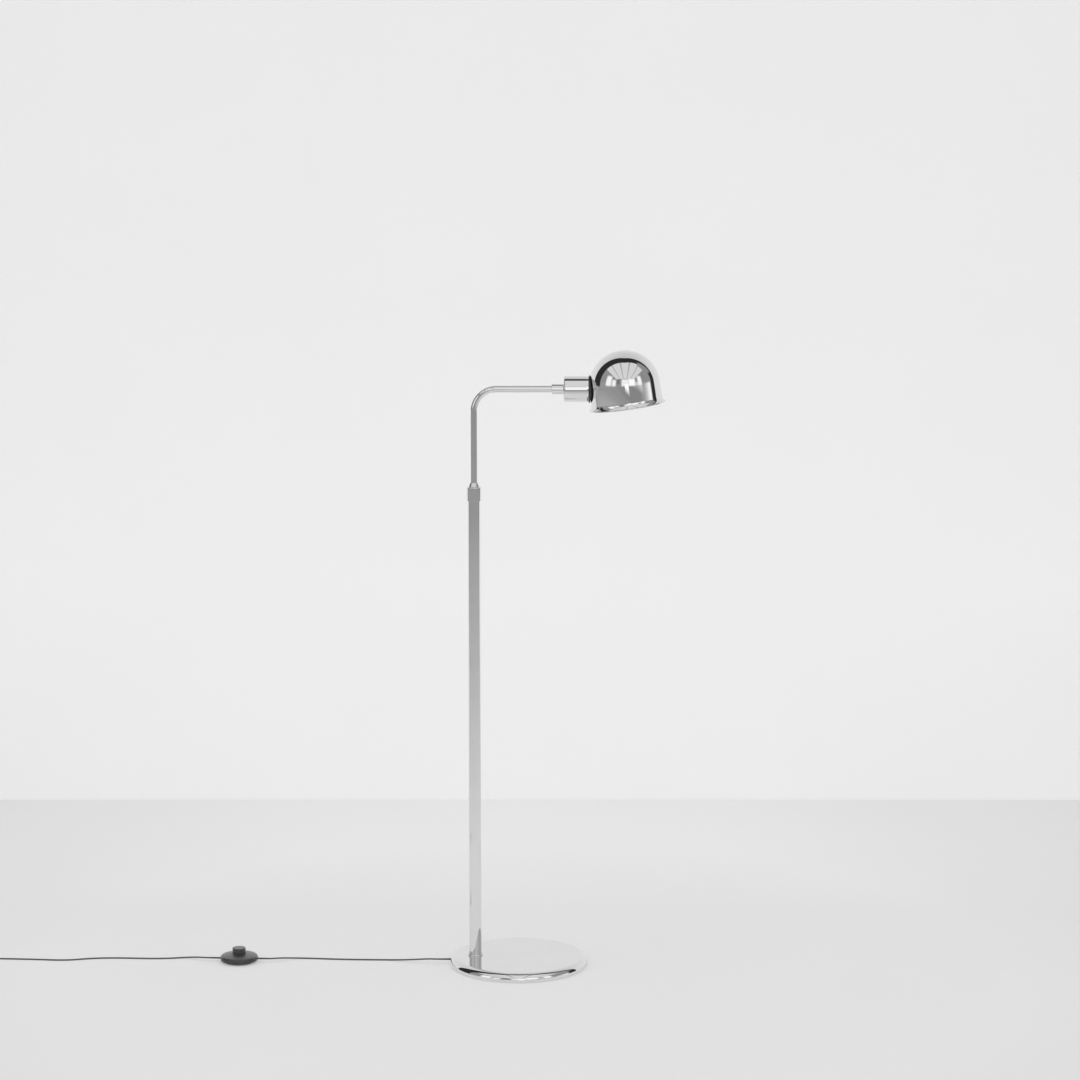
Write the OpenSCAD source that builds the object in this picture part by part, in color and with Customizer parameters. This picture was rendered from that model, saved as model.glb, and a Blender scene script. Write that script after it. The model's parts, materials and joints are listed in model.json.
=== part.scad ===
/* [Base] */
// Outside diameter of the round base
base_d = 250; // [220:1:300]
// Height of the top of the base above the floor
base_h = 16; // [15.5:0.5:22]
// Radius of the rounded upper edge of the base
base_round = 12; // [6:0.5:12]
// Wall of the pressed base cover
cover_t = 1.2; // [0.8:0.1:1.6]
// Gap between the lower edge of the cover and the floor
cover_lift = 1; // [0.6:0.1:1.4]
// Thickness of the felt under the base
felt_t = 1.5; // [1.5:0.1:2]
// Thickness of the steel bottom plate
plate_t = 1.2; // [0.8:0.1:1.6]
// Distance from the centre of the base back to the mast
mast_offset = 79; // [60:1:85]

/* [Mast] */
// Outside diameter of the outer tube
mast_d = 22; // [22:0.5:25]
// Wall of the outer tube
mast_wall = 1; // [0.8:0.1:1.2]
// Height of the top of the collar above the floor
collar_top = 874; // [780:1:960]
// Outside diameter of the collar
collar_d = 25.8; // [24.6:0.2:28]
// Length of the collar
collar_len = 24.3; // [20:0.1:36]
// Height of the cone nut on the collar
nose_len = 8.4; // [5:0.2:12]
// Diameter of the cone nut where it sits on the collar
nose_d = 19.6; // [15:0.2:22]
// Diameter of the ring at the foot of the mast
foot_d = 26; // [26:0.5:34]
// Height of the ring at the foot of the mast
foot_h = 3.2; // [2.5:0.1:6]

/* [Arm] */
// Outside diameter of the telescopic arm tube
arm_d = 12; // [11:0.5:12]
// Wall of the arm tube
arm_wall = 1; // [0.8:0.1:1.2]
// Height of the arm above the collar in the drawn pose
arm_rise = 175; // [120:1:260]
// Centre line radius of the bend in the arm
bend_r = 40; // [30:1:60]
// Distance from the mast axis to the swivel sleeve
arm_reach = 138; // [110:1:220]
// Length of arm tube hidden inside the outer tube in the drawn pose
arm_hidden = 384; // [330:1:430]

/* [Head] */
// Diameter of the swivel sleeve
sleeve_d = 18.6; // [18:0.2:22]
// Length of the swivel sleeve
sleeve_len = 21; // [21:0.5:30]
// Diameter of the socket cup
cup_d = 46; // [45:0.5:50]
// Length of the socket cup
cup_len = 44.2; // [42:0.1:50]
// Wall of the socket cup
cup_wall = 1; // [0.8:0.1:1.4]
// Diameter of the black seat ring between cup and shade
seat_d = 49; // [48:0.5:54]
// Thickness of the seat ring at its edge
seat_t = 2.6; // [2:0.1:4]
// Radius of the dome of the shade
dome_r = 63.2; // [62:0.1:70]
// Height of the dome centre above the rim of the shade
skirt_h = 36.8; // [33:0.1:42]
// Flare of the skirt below the dome, degrees
flare = 1; // [0.5:0.1:3]
// Radius of the curve that turns the skirt out to its rim
bell_r = 14; // [10:0.5:18]
// How far the rim turns out from the skirt's axis, degrees
lip_turn = 46; // [35:1:60]
// Thickness of the rolled edge of the rim
rim_t = 2.4; // [1.6:0.1:3]
// Wall of the shade
shade_t = 0.8; // [0.6:0.1:1.2]
// Tilt of the shade away from the mast, degrees
shade_tilt = 8.2; // [0:0.1:10]
// Height of the dome centre above the arm axis
dome_rise = 5.8; // [3:0.1:8]
// Diameter of the globe of the bulb
bulb_d = 45; // [40:1:46]

/* [Foot switch] */
// Widest diameter of the switch housing
switch_d = 68.4; // [64:0.1:76]
// Slope of the crown of the switch housing at its shoulder, degrees
crown_slope = 14; // [12:0.5:17]
// Diameter of the push button
button_d = 24; // [22:0.2:26]
// Height of the top of the button above the floor
button_h = 26; // [24.6:0.2:30]
// Travel of the push button
button_travel = 3; // [2:0.1:3]
// Thickness of the rubber pad under the switch
pad_t = 1; // [0.6:0.1:1.4]
// Wall of the switch housing
switch_wall = 2; // [1.6:0.1:2.2]

/* [Cord and plug] */
// Diameter of the mains cord
cord_d = 2.8; // [2.4:0.1:3]
// Length of the tapered sleeves where the cord leaves a housing
relief_len = 20; // [14:1:24]
// Width of the plug body
plug_w = 35.3; // [32:0.1:38]
// Thickness of the plug body
plug_t = 13.7; // [12:0.1:15]
// Length of the plug body
plug_len = 36; // [32:1:42]
// Diameter of a plug pin
pin_d = 4; // [3.8:0.1:4.2]
// Length of a plug pin
pin_len = 19; // [17:0.5:19]
// Distance between the plug pins
pin_gap = 18.6; // [17:0.1:19]

/* [Hidden] */

// Named clearances
fit = 0.05;         // running or thread fit, radial
gap = 0.3;          // parts of different bodies that only pass each other
loose = 0.5;        // easy gap inside one assembly
eps = 0.01;         // overlap of cutting tools

// Base
base_r = base_d / 2;
lip_r = 2;                                  // rounding of the lower edge of the cover
lip_w = 4;                                  // width of the turned-in lower lip
plate_r = base_r - lip_w - loose;
felt_r = plate_r - 1.5;
plate_top = felt_t + plate_t;
cover_in = base_h - cover_t;                // underside of the flat of the cover
weight_r = base_r - base_round - loose;
cord_z = base_h / 2;                        // height at which the cord leaves the base
screw_ring_r = 60;                          // circle of the three plate screws
screw_core = 1.7;
screw_head = 4;
screw_len = 8;
slot_len = 3.2;                             // cross slot in a screw head
slot_w = 0.8;
slot_depth = 0.7;
lead_slot = 8;                              // width of the channel for the lead in the weight
mast_x = -mast_offset;
lead_z = 4.5;                               // height of the lead under the weight
lead_bend = 10;                             // radius at which the lead turns up the mast

// Mast foot
nipple_r = 6.5;
nipple_bore_r = 5;
washer_t = 1;
washer_r = 11;
foot_round = 1.2;
foot_edge = 0.4;
nut_t = 3;
nut_af = 17;
pocket_r = 13;
pocket_roof = cover_in - 3;
nut_z = pocket_roof - washer_t - nut_t;
nipple_z = nut_z - 0.2;
plug_z = base_h + 1;                        // the outer tube stands this high in the foot ring
foot_plug_len = 25;
mast_r = mast_d / 2;
mast_in = mast_r - mast_wall;
nipple_top = plug_z + foot_plug_len;

// Collar
collar_r = collar_d / 2;
collar_z = collar_top - collar_len;
collar_edge = 1.2;                          // slope at the top edge of the collar
nose_rim = 0.8;                               // height of the straight rim of the cone nut
nose_tip_r = 7;
bush_slit = 1.2;
bush_flange_t = 2.5;
tube_top = collar_top - 8;                  // top of the outer tube inside the collar
bush_top = tube_top + bush_flange_t;
bush_len = 30;
nose_thread_r = 7;
arm_r = arm_d / 2;

// Arm
arm_z = collar_top + arm_rise;
arm_foot = collar_top - arm_hidden;
guide_z = arm_foot + 10;
guide_len = 45;
clip_t = 2;
clip_r = 8.6;
low_clip_r = 7;                             // the lower clip passes inside the lug of the guide
clip_gap = 0.25;
stop_r = 1;                                 // radius of the arm's stop pin
stop_z = guide_z - clip_gap - clip_t - 2.2;
lug_w = 2.4;
lug_h = 5.5;
lug_t = 2.2;
ring_h = 7.2;                               // spring ring in the groove of the guide
ring_slit = 2;
groove_depth = 1.2;
clip_slit = 3;
lead_tail = 3;                              // length of lead under the foot of the arm tube
slack_r = 5.4;
slack_turns = 18;
guide_r = mast_in - 0.1;
tube_in = arm_r - arm_wall;
grommet_t = 1.5;
lead_r = cord_d / 2;
sleeve_x = mast_x + arm_reach;
sleeve_r = sleeve_d / 2;
tube_seat = 7;                              // length of arm tube inside the sleeve
sleeve_wall = 3;                            // end wall of the sleeve that carries the stud
chamber_r = 7.5;
chamber_x = sleeve_x + tube_seat + 1;       // the arm tube ends 1 mm before the chamber
sleeve_edge = 0.6;
sleeve_end = sleeve_x + sleeve_len;

// Swivel
stud_r = 5;
stud_bore = 3.4;
stop_pin_x = sleeve_x + tube_seat + 5.6;
stop_washer_t = 1.6;
stop_washer_r = 5.9;
head_pin_r = 0.8;
head_pin_len = 2.3;
stop_tab_w = 2;
swivel_nut_t = 2.6;
swivel_nut_af = 12;
nut_x = stop_pin_x - stop_washer_t / 2 - swivel_nut_t;
cup_nut_t = 3;
cup_nut_af = 14;
stud_end = sleeve_end + cup_wall + 6;

// Head
cup_x = sleeve_end + gap;
cup_r = cup_d / 2;
cup_end = cup_x + cup_len;
cup_lip = 1.4;                              // rounding of the rolled-in open end of the cup
cup_round = 3;                              // rounding of the closed end of the cup
holder_x = cup_x + 9;                       // back face of the lampholder
holder_r = 20.5;
terminal_y = 12;
terminal_r = 1.9;
terminal_len = 3.9;
terminal_head_r = 3;
terminal_head_t = 1;
lead_end = stud_end - 1;                    // the cord is stripped inside the stud
core_d = 1.2;                               // one core of the cord
core_route = [[lead_end, core_d / 2 + fit], [lead_end + 0.8, core_d / 2 + fit],
    [stud_end + 0.9, core_d + 0.4], [holder_x - 0.8, 4], [holder_x - 0.7, 6],
    [holder_x - 0.7, terminal_y - terminal_head_r]];
neck_r = 19.75;
seat_r = seat_d / 2;
seat_edge = 0.5;
boss_r = 20.8;
dome_gap = 0.8;                             // from the cup to the dome on the arm axis
dome_x = cup_end + dome_gap + sqrt(dome_r * dome_r - dome_rise * dome_rise);
dome_z = arm_z + dome_rise;
saddle_x = cup_end + dome_gap + 8.7;        // flat face of the saddle inside the shade
shade_nut_t = 5;
shade_nut_r = 26;
nut_grips = 12;
neck_end = saddle_x + shade_nut_t + 0.8;
shell_r = 14;
shell_t = 0.5;
contact_r = 3;
contact_t = 0.4;
cap_x = cup_end - 19;
cap_len = 27;
cap_cone = 4;
cap_r = shell_r - shell_t - fit;
bulb_neck_r = 12;
bulb_neck = 14;
glass_t = 1;
bulb_x = cap_x + cap_len + 8 + bulb_d / 2;
flare_r = dome_r * cos(flare);
flare_h = skirt_h + dome_r * sin(flare);
bead_r = rim_t / 2;                         // rolled edge of the rim
bell_mid = bell_r + shade_t / 2;            // middle of the wall in the curve of the rim
bell_z = bell_mid * sin(lip_turn) + bead_r; // centre of that curve, outside the skirt
bell_x = flare_r + (flare_h - bell_z + bell_r * sin(flare)) * tan(flare) + bell_r * cos(flare);
rim_r = bell_x - bell_mid * cos(lip_turn) + bead_r;

// Foot switch, drawn about its own centre and then placed beside the lamp
switch_x = -510.5;
switch_y = 13;
switch_turn = -3;
switch_r = switch_d / 2;
seam_z = 6.5;
foot_r = 28;
shoulder_r = 5;                             // radius of the shoulder of the upper housing
button_r = button_d / 2;
flange_r = button_r + 2;
flange_t = 2;
flange_z = crown_z(flange_r, switch_wall) - gap - flange_t;
core_r = 10;
core_top = 6;
floor_z = pad_t + 2;
spring_top = button_h - 5;
spring_r = 5;
spring_wire = 1;
spring_turns = 7;
entry_z = 6;                                // height of the cord through the switch
terminal_x = 16;
screw_circle = 24;                          // circle of the four housing screws
housing_screw_r = 1.1;
housing_head_r = 2.2;
housing_head_t = 1.4;
housing_bite = 4;                           // length of screw in the upper housing
post_r = 3;
terminal_w = 6;
terminal_h = 5.4;
terminal_t = 5;
strip_w = 4;                                // brass strips from the block to the terminals
strip_t = 0.6;
button_edge = 1.2;
relief_x = foot_r - switch_wall - 0.1;      // seat of the sleeve, inside the sloping wall
relief_flange = 1.5;
relief_flange_r = 2.9;
relief_r = 2.2;
relief_tip_r = lead_r + 0.35;
switch_tip = switch_r + relief_len;
base_tip = base_r + relief_len;

// Plug
plug_x = -1020;
plug_y = -43;                               // where the cord enters the sleeve of the plug
plug_axis = plug_t / 2;
plug_relief = 25;
plug_relief_r = 4.5;
plug_taper = 8;                             // how much narrower the body is where the cord enters
plug_grip = 14;                             // length of the full width
plug_edge = 3;
pin_root = 8;                               // length of pin held in the plug body

// Coil of the length that is put away
coil_x = -1000;
coil_r = 21.7;                              // centre line radius at the outside
coil_in = 11.5;                             // centre line radius at the inside
coil_turns = 12.25;
coil_layers = 4;
coil_climb = 0.5;                           // turns over which the coil climbs a layer
coil_step = 3.4;                            // height of a layer
coil_z = 2.2;
coil_y = 26 - coil_r;
coil_top = coil_z + (coil_layers - 1) * coil_step;
layer_turns = (coil_turns - (coil_layers - 1) * coil_climb) / coil_layers;
tie_w = 6;
tie_t = 0.6;
tie_gap = 0.2;

// Routes of the cord, centre line, from the base to the switch and on to the coil
to_switch_route = [
    [-base_tip, 0, cord_z], [-base_tip - 4, 0, cord_z], [-165, 1.5, 7.9], [-190, 6.5, 5.4],
    [-215, 13, 2.8], [-240, 17.5, 1.5], [-275, 19, 1.4], [-310, 20.5, 1.4], [-350, 24, 1.4],
    [-380, 27.5, 1.4], [-405, 26.5, 2.2], [-425, 20.5, 4.1], [-441, 14, 5.6],
    switch_point(switch_tip + 4), switch_point(switch_tip)];
to_plug_route = [
    switch_point(-switch_tip), switch_point(-switch_tip - 4), [-581, 21, 5.2], [-597, 28, 3.4],
    [-616, 31, 1.9], [-640, 28, 1.4], [-670, 26.5, 1.4], [-700, 28, 1.4], [-735, 30, 1.4],
    [-765, 29, 1.4], [-790, 25, 1.4], [-815, 18.5, 1.4], [-840, 16.5, 1.4], [-875, 20, 1.4],
    [-910, 23, 1.4], [-945, 25.5, 1.4], [-975, 26, 1.9],
    [coil_x + 2 * cord_d, 26, coil_z], [coil_x + cord_d, 26, coil_z]];
plug_route = [
    [coil_x - coil_r, coil_y - cord_d, coil_top], [coil_x - coil_r, coil_y - 8, coil_top],
    [-1021, -18, 9.8], [plug_x, plug_y + 5, plug_axis], [plug_x, plug_y, plug_axis]];
base_lead_route = [
    [-base_tip, 0, cord_z], [-base_r + 4, 0, cord_z], [-base_r + 10, 0, cord_z - 0.6],
    [-base_r + 17, 0, lead_z + 0.4], [-base_r + 23, 0, lead_z],
    for (a = [0:22.5:90]) [mast_x - lead_bend * (1 - sin(a)), 0, lead_z + lead_bend * (1 - cos(a))],
    [mast_x, 0, nipple_top]];

// ---- functions ----

function unit(v) = v / norm(v);

function total(v, i = 0) = i >= len(v) ? 0 : v[i] + total(v, i + 1);

function path_length(p) = total([for (i = [1:len(p) - 1]) norm(p[i] - p[i - 1])]);

// Direction of a route at its point i
function way(p, i) = unit(p[min(i + 1, len(p) - 1)] - p[max(i - 1, 0)]);

function hermite(a, b, u, v, t) =
    (2 * t * t * t - 3 * t * t + 1) * a + (t * t * t - 2 * t * t + t) * u
    + (3 * t * t - 2 * t * t * t) * b + (t * t * t - t * t) * v;

// Smooth curve through the points of a route, a point about every step
function smooth(p, step) = concat([for (i = [0:len(p) - 2])
    let (l = norm(p[i + 1] - p[i]), n = max(1, round(l / step)))
    for (k = [0:n - 1]) hermite(p[i], p[i + 1], way(p, i) * l, way(p, i + 1) * l, k / n)],
    [p[len(p) - 1]]);

// Turn about the mast axis, radius and height of the coil after w turns
function coil_layer(w) = min(coil_layers - 1, floor(w / (layer_turns + coil_climb)));
function coil_part(w) = min(1, (w - coil_layer(w) * (layer_turns + coil_climb)) / layer_turns);
function coil_rise(w) =
    let (c = max(0, (w - coil_layer(w) * (layer_turns + coil_climb) - layer_turns) / coil_climb))
    c * c * (3 - 2 * c);
function coil_radius(w) = coil_layer(w) % 2 == 0
    ? coil_r - (coil_r - coil_in) * coil_part(w)
    : coil_in + (coil_r - coil_in) * coil_part(w);
function coil_point(w) = [
    coil_x + coil_radius(w) * cos(90 + 360 * w),
    coil_y + coil_radius(w) * sin(90 + 360 * w),
    coil_z + (coil_layer(w) + coil_rise(w)) * coil_step];
function coil_path(n) = concat(
    [[coil_x + cord_d, coil_y + coil_r, coil_z]],
    [for (i = [0:floor(coil_turns * n)]) coil_point(i / n)],
    [[coil_x - coil_r, coil_y - cord_d, coil_top]]);

// Least distance between centre lines, leaving out neighbours along the cord
function least_gap(p, skip, d) = min([for (i = [0:len(p) - 1 - skip])
    min([for (j = [i + skip:len(p) - 1]) norm(p[i] - p[j])])]) - d;

// A point on the axis of the foot switch, x to the side of its centre
function switch_point(x) = [
    switch_x + x * cos(switch_turn), switch_y + x * sin(switch_turn), entry_z];

// Helix along +Z about the origin, with flat ground ends left out
function helix(r, z0, z1, turns, n) = [for (i = [0:turns * n])
    [r * cos(360 * i / n), r * sin(360 * i / n), z0 + (z1 - z0) * i / (turns * n)]];

// A helix that grows from its axis and goes back to it, with a straight tail at both ends;
// the tails lean by eps, because tube_along needs a direction that isn't quite +Z
function slack(r, z0, z1, turns, n, tail) = concat([[-eps, 0, z0]],
    [for (i = [0:turns * n]) let (q = r * min(1, i / n, turns - i / n))
        [q * cos(360 * i / n), q * sin(360 * i / n),
         z0 + tail + (z1 - z0 - 2 * tail) * i / (turns * n)]],
    [[-eps, eps, z1]]);

// Upper housing of the switch: where its shoulder meets the crown, and the crown's height at x
function crown_x(inset) = switch_r - shoulder_r + (shoulder_r - inset) * sin(crown_slope);
function crown_top(inset) = seam_z + 1 + (shoulder_r - inset) * cos(crown_slope);
function crown_r(inset) = crown_x(inset) / sin(crown_slope);
function crown_z(x, inset) = crown_top(inset) - crown_r(inset) * cos(crown_slope)
    + sqrt(pow(crown_r(inset), 2) - x * x);

// ---- shared shapes ----

// One tube along a list of points; side is a direction that no stretch runs along
module tube_along(p, d, sides, side = [0, 0, 1]) {
    n = len(p);
    points = [for (i = [0:n - 1]) let (t = way(p, i), u = unit(cross(side, t)), v = cross(t, u))
        for (k = [0:sides - 1]) let (a = 360 * (k + 0.5) / sides)
            p[i] + d / 2 * (cos(a) * u + sin(a) * v)];
    faces = concat(
        [for (i = [0:n - 2]) for (k = [0:sides - 1]) let (m = (k + 1) % sides)
            for (f = [[i * sides + k, (i + 1) * sides + k, (i + 1) * sides + m],
                      [i * sides + k, (i + 1) * sides + m, i * sides + m]]) f],
        [for (k = [1:sides - 2]) [0, k, k + 1]],
        [for (k = [1:sides - 2]) [(n - 1) * sides, (n - 1) * sides + k + 1, (n - 1) * sides + k]]);
    polyhedron(points, faces);
}

// Half section of a disc from z0 to z1 with a rounded upper and lower edge
module disc_section(r, z0, z1, top, low) {
    polygon([[0, z0], [r - low, z0], [r - low, z0 + low], [r, z0 + low], [r, z1 - top],
        [r - top, z1 - top], [r - top, z1], [0, z1]]);
    translate([r - top, z1 - top]) intersection() { circle(r = top); square(top); }
    translate([r - low, z0 + low]) intersection() {
        circle(r = low);
        translate([0, -low]) square(low);
    }
}

// Ring about +Z
module ring(r_out, r_in, z0, z1) {
    difference() {
        translate([0, 0, z0]) cylinder(r = r_out, h = z1 - z0);
        translate([0, 0, z0 - 1]) cylinder(r = r_in, h = z1 - z0 + 2);
    }
}

// Children drawn about +Z are laid along the arm, from the point x outwards
module along_arm(x) { translate([x, 0, arm_z]) rotate([0, 90, 0]) children(); }

module at_mast() { translate([mast_x, 0, 0]) children(); }

module at_switch() { translate([switch_x, switch_y, 0]) rotate([0, 0, switch_turn]) children(); }

module at_shade() {
    translate([dome_x, 0, dome_z]) rotate([0, -shade_tilt, 0]) translate([0, 0, -skirt_h])
        children();
}

module hex_nut(af, bore, z0, t) {
    difference() {
        translate([0, 0, z0]) cylinder(r = af / 2 / cos(30), h = t, $fn = 6);
        translate([0, 0, z0 - 1]) cylinder(r = bore, h = t + 2);
    }
}

// ---- base ----

module base_cover() {
    color("silver") difference() {
        rotate_extrude() difference() {
            disc_section(base_r, cover_lift, base_h, base_round, lip_r);
            disc_section(base_r - cover_t, cover_lift + cover_t, cover_in,
                base_round - cover_t, lip_r - cover_t);
            square([base_r - lip_w, base_h / 2]);
        }
        at_mast() translate([0, 0, base_h / 2]) cylinder(r = nipple_r + fit, h = base_h);
        translate([-base_r - 1, 0, cord_z]) rotate([0, 90, 0])
            cylinder(r = relief_r + fit, h = base_round);
    }
}

module base_weight() {
    color("dimgray") difference() {
        translate([0, 0, plate_top]) cylinder(r = weight_r, h = cover_in - plate_top);
        at_mast() cylinder(r = nipple_r + fit, h = base_h);
        at_mast() cylinder(r = pocket_r, h = pocket_roof);
        translate([-base_r, -lead_slot / 2, 0]) cube([base_r + mast_x, lead_slot, pocket_roof]);
        plate_screw_places() cylinder(r = screw_core, h = plate_top + screw_len);
    }
}

module plate_screw_places() {
    for (a = [0, 120, 240]) rotate([0, 0, a]) translate([screw_ring_r, 0, 0]) children();
}

module base_plate() {
    color("gray") difference() {
        translate([0, 0, felt_t]) cylinder(r = plate_r, h = plate_t);
        plate_screw_places() cylinder(r = screw_core + loose, h = base_h);
        plate_screw_places() translate([0, 0, felt_t - eps])
            cylinder(r1 = screw_head + 0.1, r2 = screw_core + loose, h = plate_t);
    }
}

module base_felt() { color("black") cylinder(r = felt_r, h = felt_t); }

module base_screws() {
    color("gray") plate_screw_places() translate([0, 0, felt_t]) difference() {
        union() {
            cylinder(r1 = screw_head - 0.1, r2 = screw_core, h = plate_t);
            cylinder(r = screw_core, h = plate_t + screw_len - 1);
        }
        for (a = [0, 90]) rotate([0, 0, a]) translate([-slot_len / 2, -slot_w / 2, -1])
            cube([slot_len, slot_w, 1 + slot_depth]);
    }
}

// Flanged rubber sleeve about +Z: flange inside the wall, tapered nose outside it
module relief(wall, length) {
    difference() {
        union() {
            translate([0, 0, -relief_flange]) cylinder(r = relief_flange_r, h = relief_flange);
            cylinder(r = relief_r, h = wall + eps);
            translate([0, 0, wall]) cylinder(r1 = relief_r, r2 = relief_tip_r, h = length);
        }
        translate([0, 0, -relief_flange - 1])
            cylinder(r = lead_r + fit, h = relief_flange + wall + length + 2);
    }
}

module base_relief() {
    wall = cover_t + 3;                     // clears the rounded wall above the flange
    color("black") translate([-base_r + wall, 0, cord_z]) rotate([0, -90, 0])
        relief(wall, relief_len);
}

module base_lead() {
    p = smooth(base_lead_route, 4);
    echo("lead in the base, mm", path_length(p));
    color("black") tube_along(p, cord_d, 8, [0, 1, 0]);
}

// ---- mast ----

module foot_ring() {
    color("silver") at_mast() difference() {
        rotate_extrude() disc_section(foot_d / 2, base_h, base_h + foot_h, foot_round, foot_edge);
        cylinder(r = nipple_r + fit, h = 2 * base_h);
        translate([0, 0, plug_z]) cylinder(r = mast_r + fit, h = foot_h + 1);
    }
}

module mast_nipple() { color("goldenrod") at_mast() ring(nipple_r, nipple_bore_r, nipple_z, nipple_top); }

module mast_washer() {
    color("gray") at_mast() ring(washer_r, nipple_r + fit, pocket_roof - washer_t, pocket_roof);
}

module mast_nut() { color("gray") at_mast() hex_nut(nut_af, nipple_r + fit, nut_z, nut_t); }

module mast_plug() {
    color("gray") at_mast() ring(mast_in - fit, nipple_r + fit, plug_z, nipple_top);
}

module outer_tube() { color("silver") at_mast() ring(mast_r, mast_in, plug_z, tube_top); }

module collar() {
    color("silver") at_mast() difference() {
        union() {
            translate([0, 0, collar_z]) cylinder(r = collar_r, h = collar_len - collar_edge);
            translate([0, 0, collar_top - collar_edge])
                cylinder(r1 = collar_r, r2 = collar_r - collar_edge, h = collar_edge);
        }
        translate([0, 0, collar_z - 1]) cylinder(r = mast_r + fit, h = bush_top - collar_z + 1);
        cylinder(r = nose_thread_r + fit, h = collar_top + 1);
    }
}

module collar_nose() {
    color("silver") at_mast() difference() {
        union() {
            translate([0, 0, bush_top + 0.1]) cylinder(r = nose_thread_r, h = collar_top - bush_top);
            translate([0, 0, collar_top]) cylinder(r = nose_d / 2, h = nose_rim);
            translate([0, 0, collar_top + nose_rim])
                cylinder(r1 = nose_d / 2, r2 = nose_tip_r, h = nose_len - nose_rim);
        }
        cylinder(r = arm_r + gap / 2, h = collar_top + nose_len + 1);
    }
}

module collar_bush() {
    color("white") at_mast() difference() {
        union() {
            translate([0, 0, tube_top - bush_len]) cylinder(r = mast_in - fit, h = bush_len);
            translate([0, 0, tube_top]) cylinder(r = mast_r - fit, h = bush_flange_t);
        }
        cylinder(r = arm_r + fit, h = collar_top);
        translate([0, -bush_slit / 2, tube_top - bush_len - 1]) cube([mast_r, bush_slit, bush_len]);
    }
}

module mast_lead() {
    p = slack(slack_r, nipple_top, arm_foot - lead_tail, slack_turns, 8, cord_d);
    echo("slack lead in the mast, mm", path_length(p));
    color("black") at_mast() tube_along(p, cord_d, 6);
}

// ---- slider ----

module slide_guide() {
    color("white") at_mast() difference() {
        union() {
            translate([0, 0, guide_z]) cylinder(r = guide_r, h = guide_len);
            translate([gap - guide_r, -lug_w / 2, guide_z - lug_h]) cube([lug_t, lug_w, lug_h + 1]);
        }
        translate([0, 0, guide_z - 1]) cylinder(r = arm_r + fit, h = guide_len + 2);
        translate([0, 0, guide_z + (guide_len - ring_h) / 2 - gap])
            ring(guide_r + 1, guide_r - groove_depth, 0, ring_h + 2 * gap);
    }
}

module guide_spring() {
    color("goldenrod") at_mast() translate([0, 0, guide_z + (guide_len - ring_h) / 2]) difference() {
        ring(mast_in - fit, guide_r - groove_depth + fit, 0, ring_h);
        translate([0, -ring_slit / 2, -1]) cube([mast_r, ring_slit, ring_h + 2]);
    }
}

// ---- arm ----

module arm_tube() {
    color("silver") {
        at_mast() difference() {
            ring(arm_r, tube_in, arm_foot, arm_z - bend_r);
            translate([0, 0, stop_z]) rotate([0, 90, 0]) cylinder(r = stop_r + fit, h = mast_r);
        }
        translate([mast_x + bend_r, 0, arm_z - bend_r]) rotate([90, 0, 0])
            rotate_extrude(start = 90, angle = 90) translate([bend_r, 0]) difference() {
                circle(r = arm_r);
                circle(r = tube_in);
            }
        along_arm(mast_x + bend_r) ring(arm_r, tube_in, 0, sleeve_x + tube_seat - mast_x - bend_r);
    }
}

module arm_clips() {
    color("gray") at_mast()
        for (z = [guide_z - clip_gap - clip_t, guide_z + guide_len + clip_gap])
            difference() {
                ring(z < guide_z ? low_clip_r : clip_r, arm_r, z, z + clip_t);
                rotate([0, 0, 90]) translate([0, -clip_slit / 2, z - 1])
                    cube([clip_r + 1, clip_slit, clip_t + 2]);
            }
}

module arm_stop_pin() {
    color("gray") at_mast() translate([tube_in - 1, 0, stop_z]) rotate([0, 90, 0])
        cylinder(r = stop_r, h = mast_in - tube_in);
}

module arm_grommet() {
    color("black") at_mast() difference() {
        union() {
            translate([0, 0, arm_foot - grommet_t]) cylinder(r = arm_r + 0.6, h = grommet_t);
            translate([0, 0, arm_foot - eps])
                cylinder(r = tube_in - fit, h = stop_z - stop_r - 1 - arm_foot);
        }
        translate([0, 0, arm_foot - lead_tail]) cylinder(r = lead_r + fit, h = guide_z - arm_foot);
    }
}

module arm_lead() {
    color("black") {
        at_mast() translate([0, 0, arm_foot - lead_tail])
            cylinder(r = lead_r, h = arm_z - bend_r - arm_foot + lead_tail);
        translate([mast_x + bend_r, 0, arm_z - bend_r]) rotate([90, 0, 0])
            rotate_extrude(start = 90, angle = 90) translate([bend_r, 0]) circle(r = lead_r);
        along_arm(mast_x + bend_r) cylinder(r = lead_r, h = lead_end - mast_x - bend_r);
    }
}

module swivel_sleeve() {
    color("silver") difference() {
        along_arm(sleeve_x) rotate_extrude()
            disc_section(sleeve_r, 0, sleeve_len, sleeve_edge, sleeve_edge);
        along_arm(sleeve_x - 1) cylinder(r = arm_r + fit, h = tube_seat + 1);
        along_arm(sleeve_x) cylinder(r = arm_r - 1, h = sleeve_len - sleeve_wall);
        along_arm(chamber_x) cylinder(r = chamber_r, h = sleeve_end - sleeve_wall - chamber_x);
        along_arm(sleeve_x) cylinder(r = stud_r + fit, h = sleeve_len + 1);
        along_arm(stop_pin_x) rotate([0, -90, 0]) translate([0, 0, chamber_r - 1])
            cylinder(r = head_pin_r, h = head_pin_len);
    }
}

module head_stop_pin() {
    color("gray") along_arm(stop_pin_x) rotate([0, -90, 0]) translate([0, 0, chamber_r - 1.2])
        cylinder(r = head_pin_r, h = head_pin_len);
}

// ---- swivel ----

module swivel_stud() {
    color("goldenrod") along_arm(nut_x - 0.2) ring(stud_r, stud_bore, 0, stud_end - nut_x + 0.2);
}

module stop_washer() {
    color("gray") along_arm(stop_pin_x - stop_washer_t / 2) {
        ring(stop_washer_r, stud_r + fit, 0, stop_washer_t);
        translate([stud_r + loose, -stop_tab_w / 2, 0])
            cube([chamber_r - gap - stud_r - loose, stop_tab_w, stop_washer_t]);
    }
}

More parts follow.
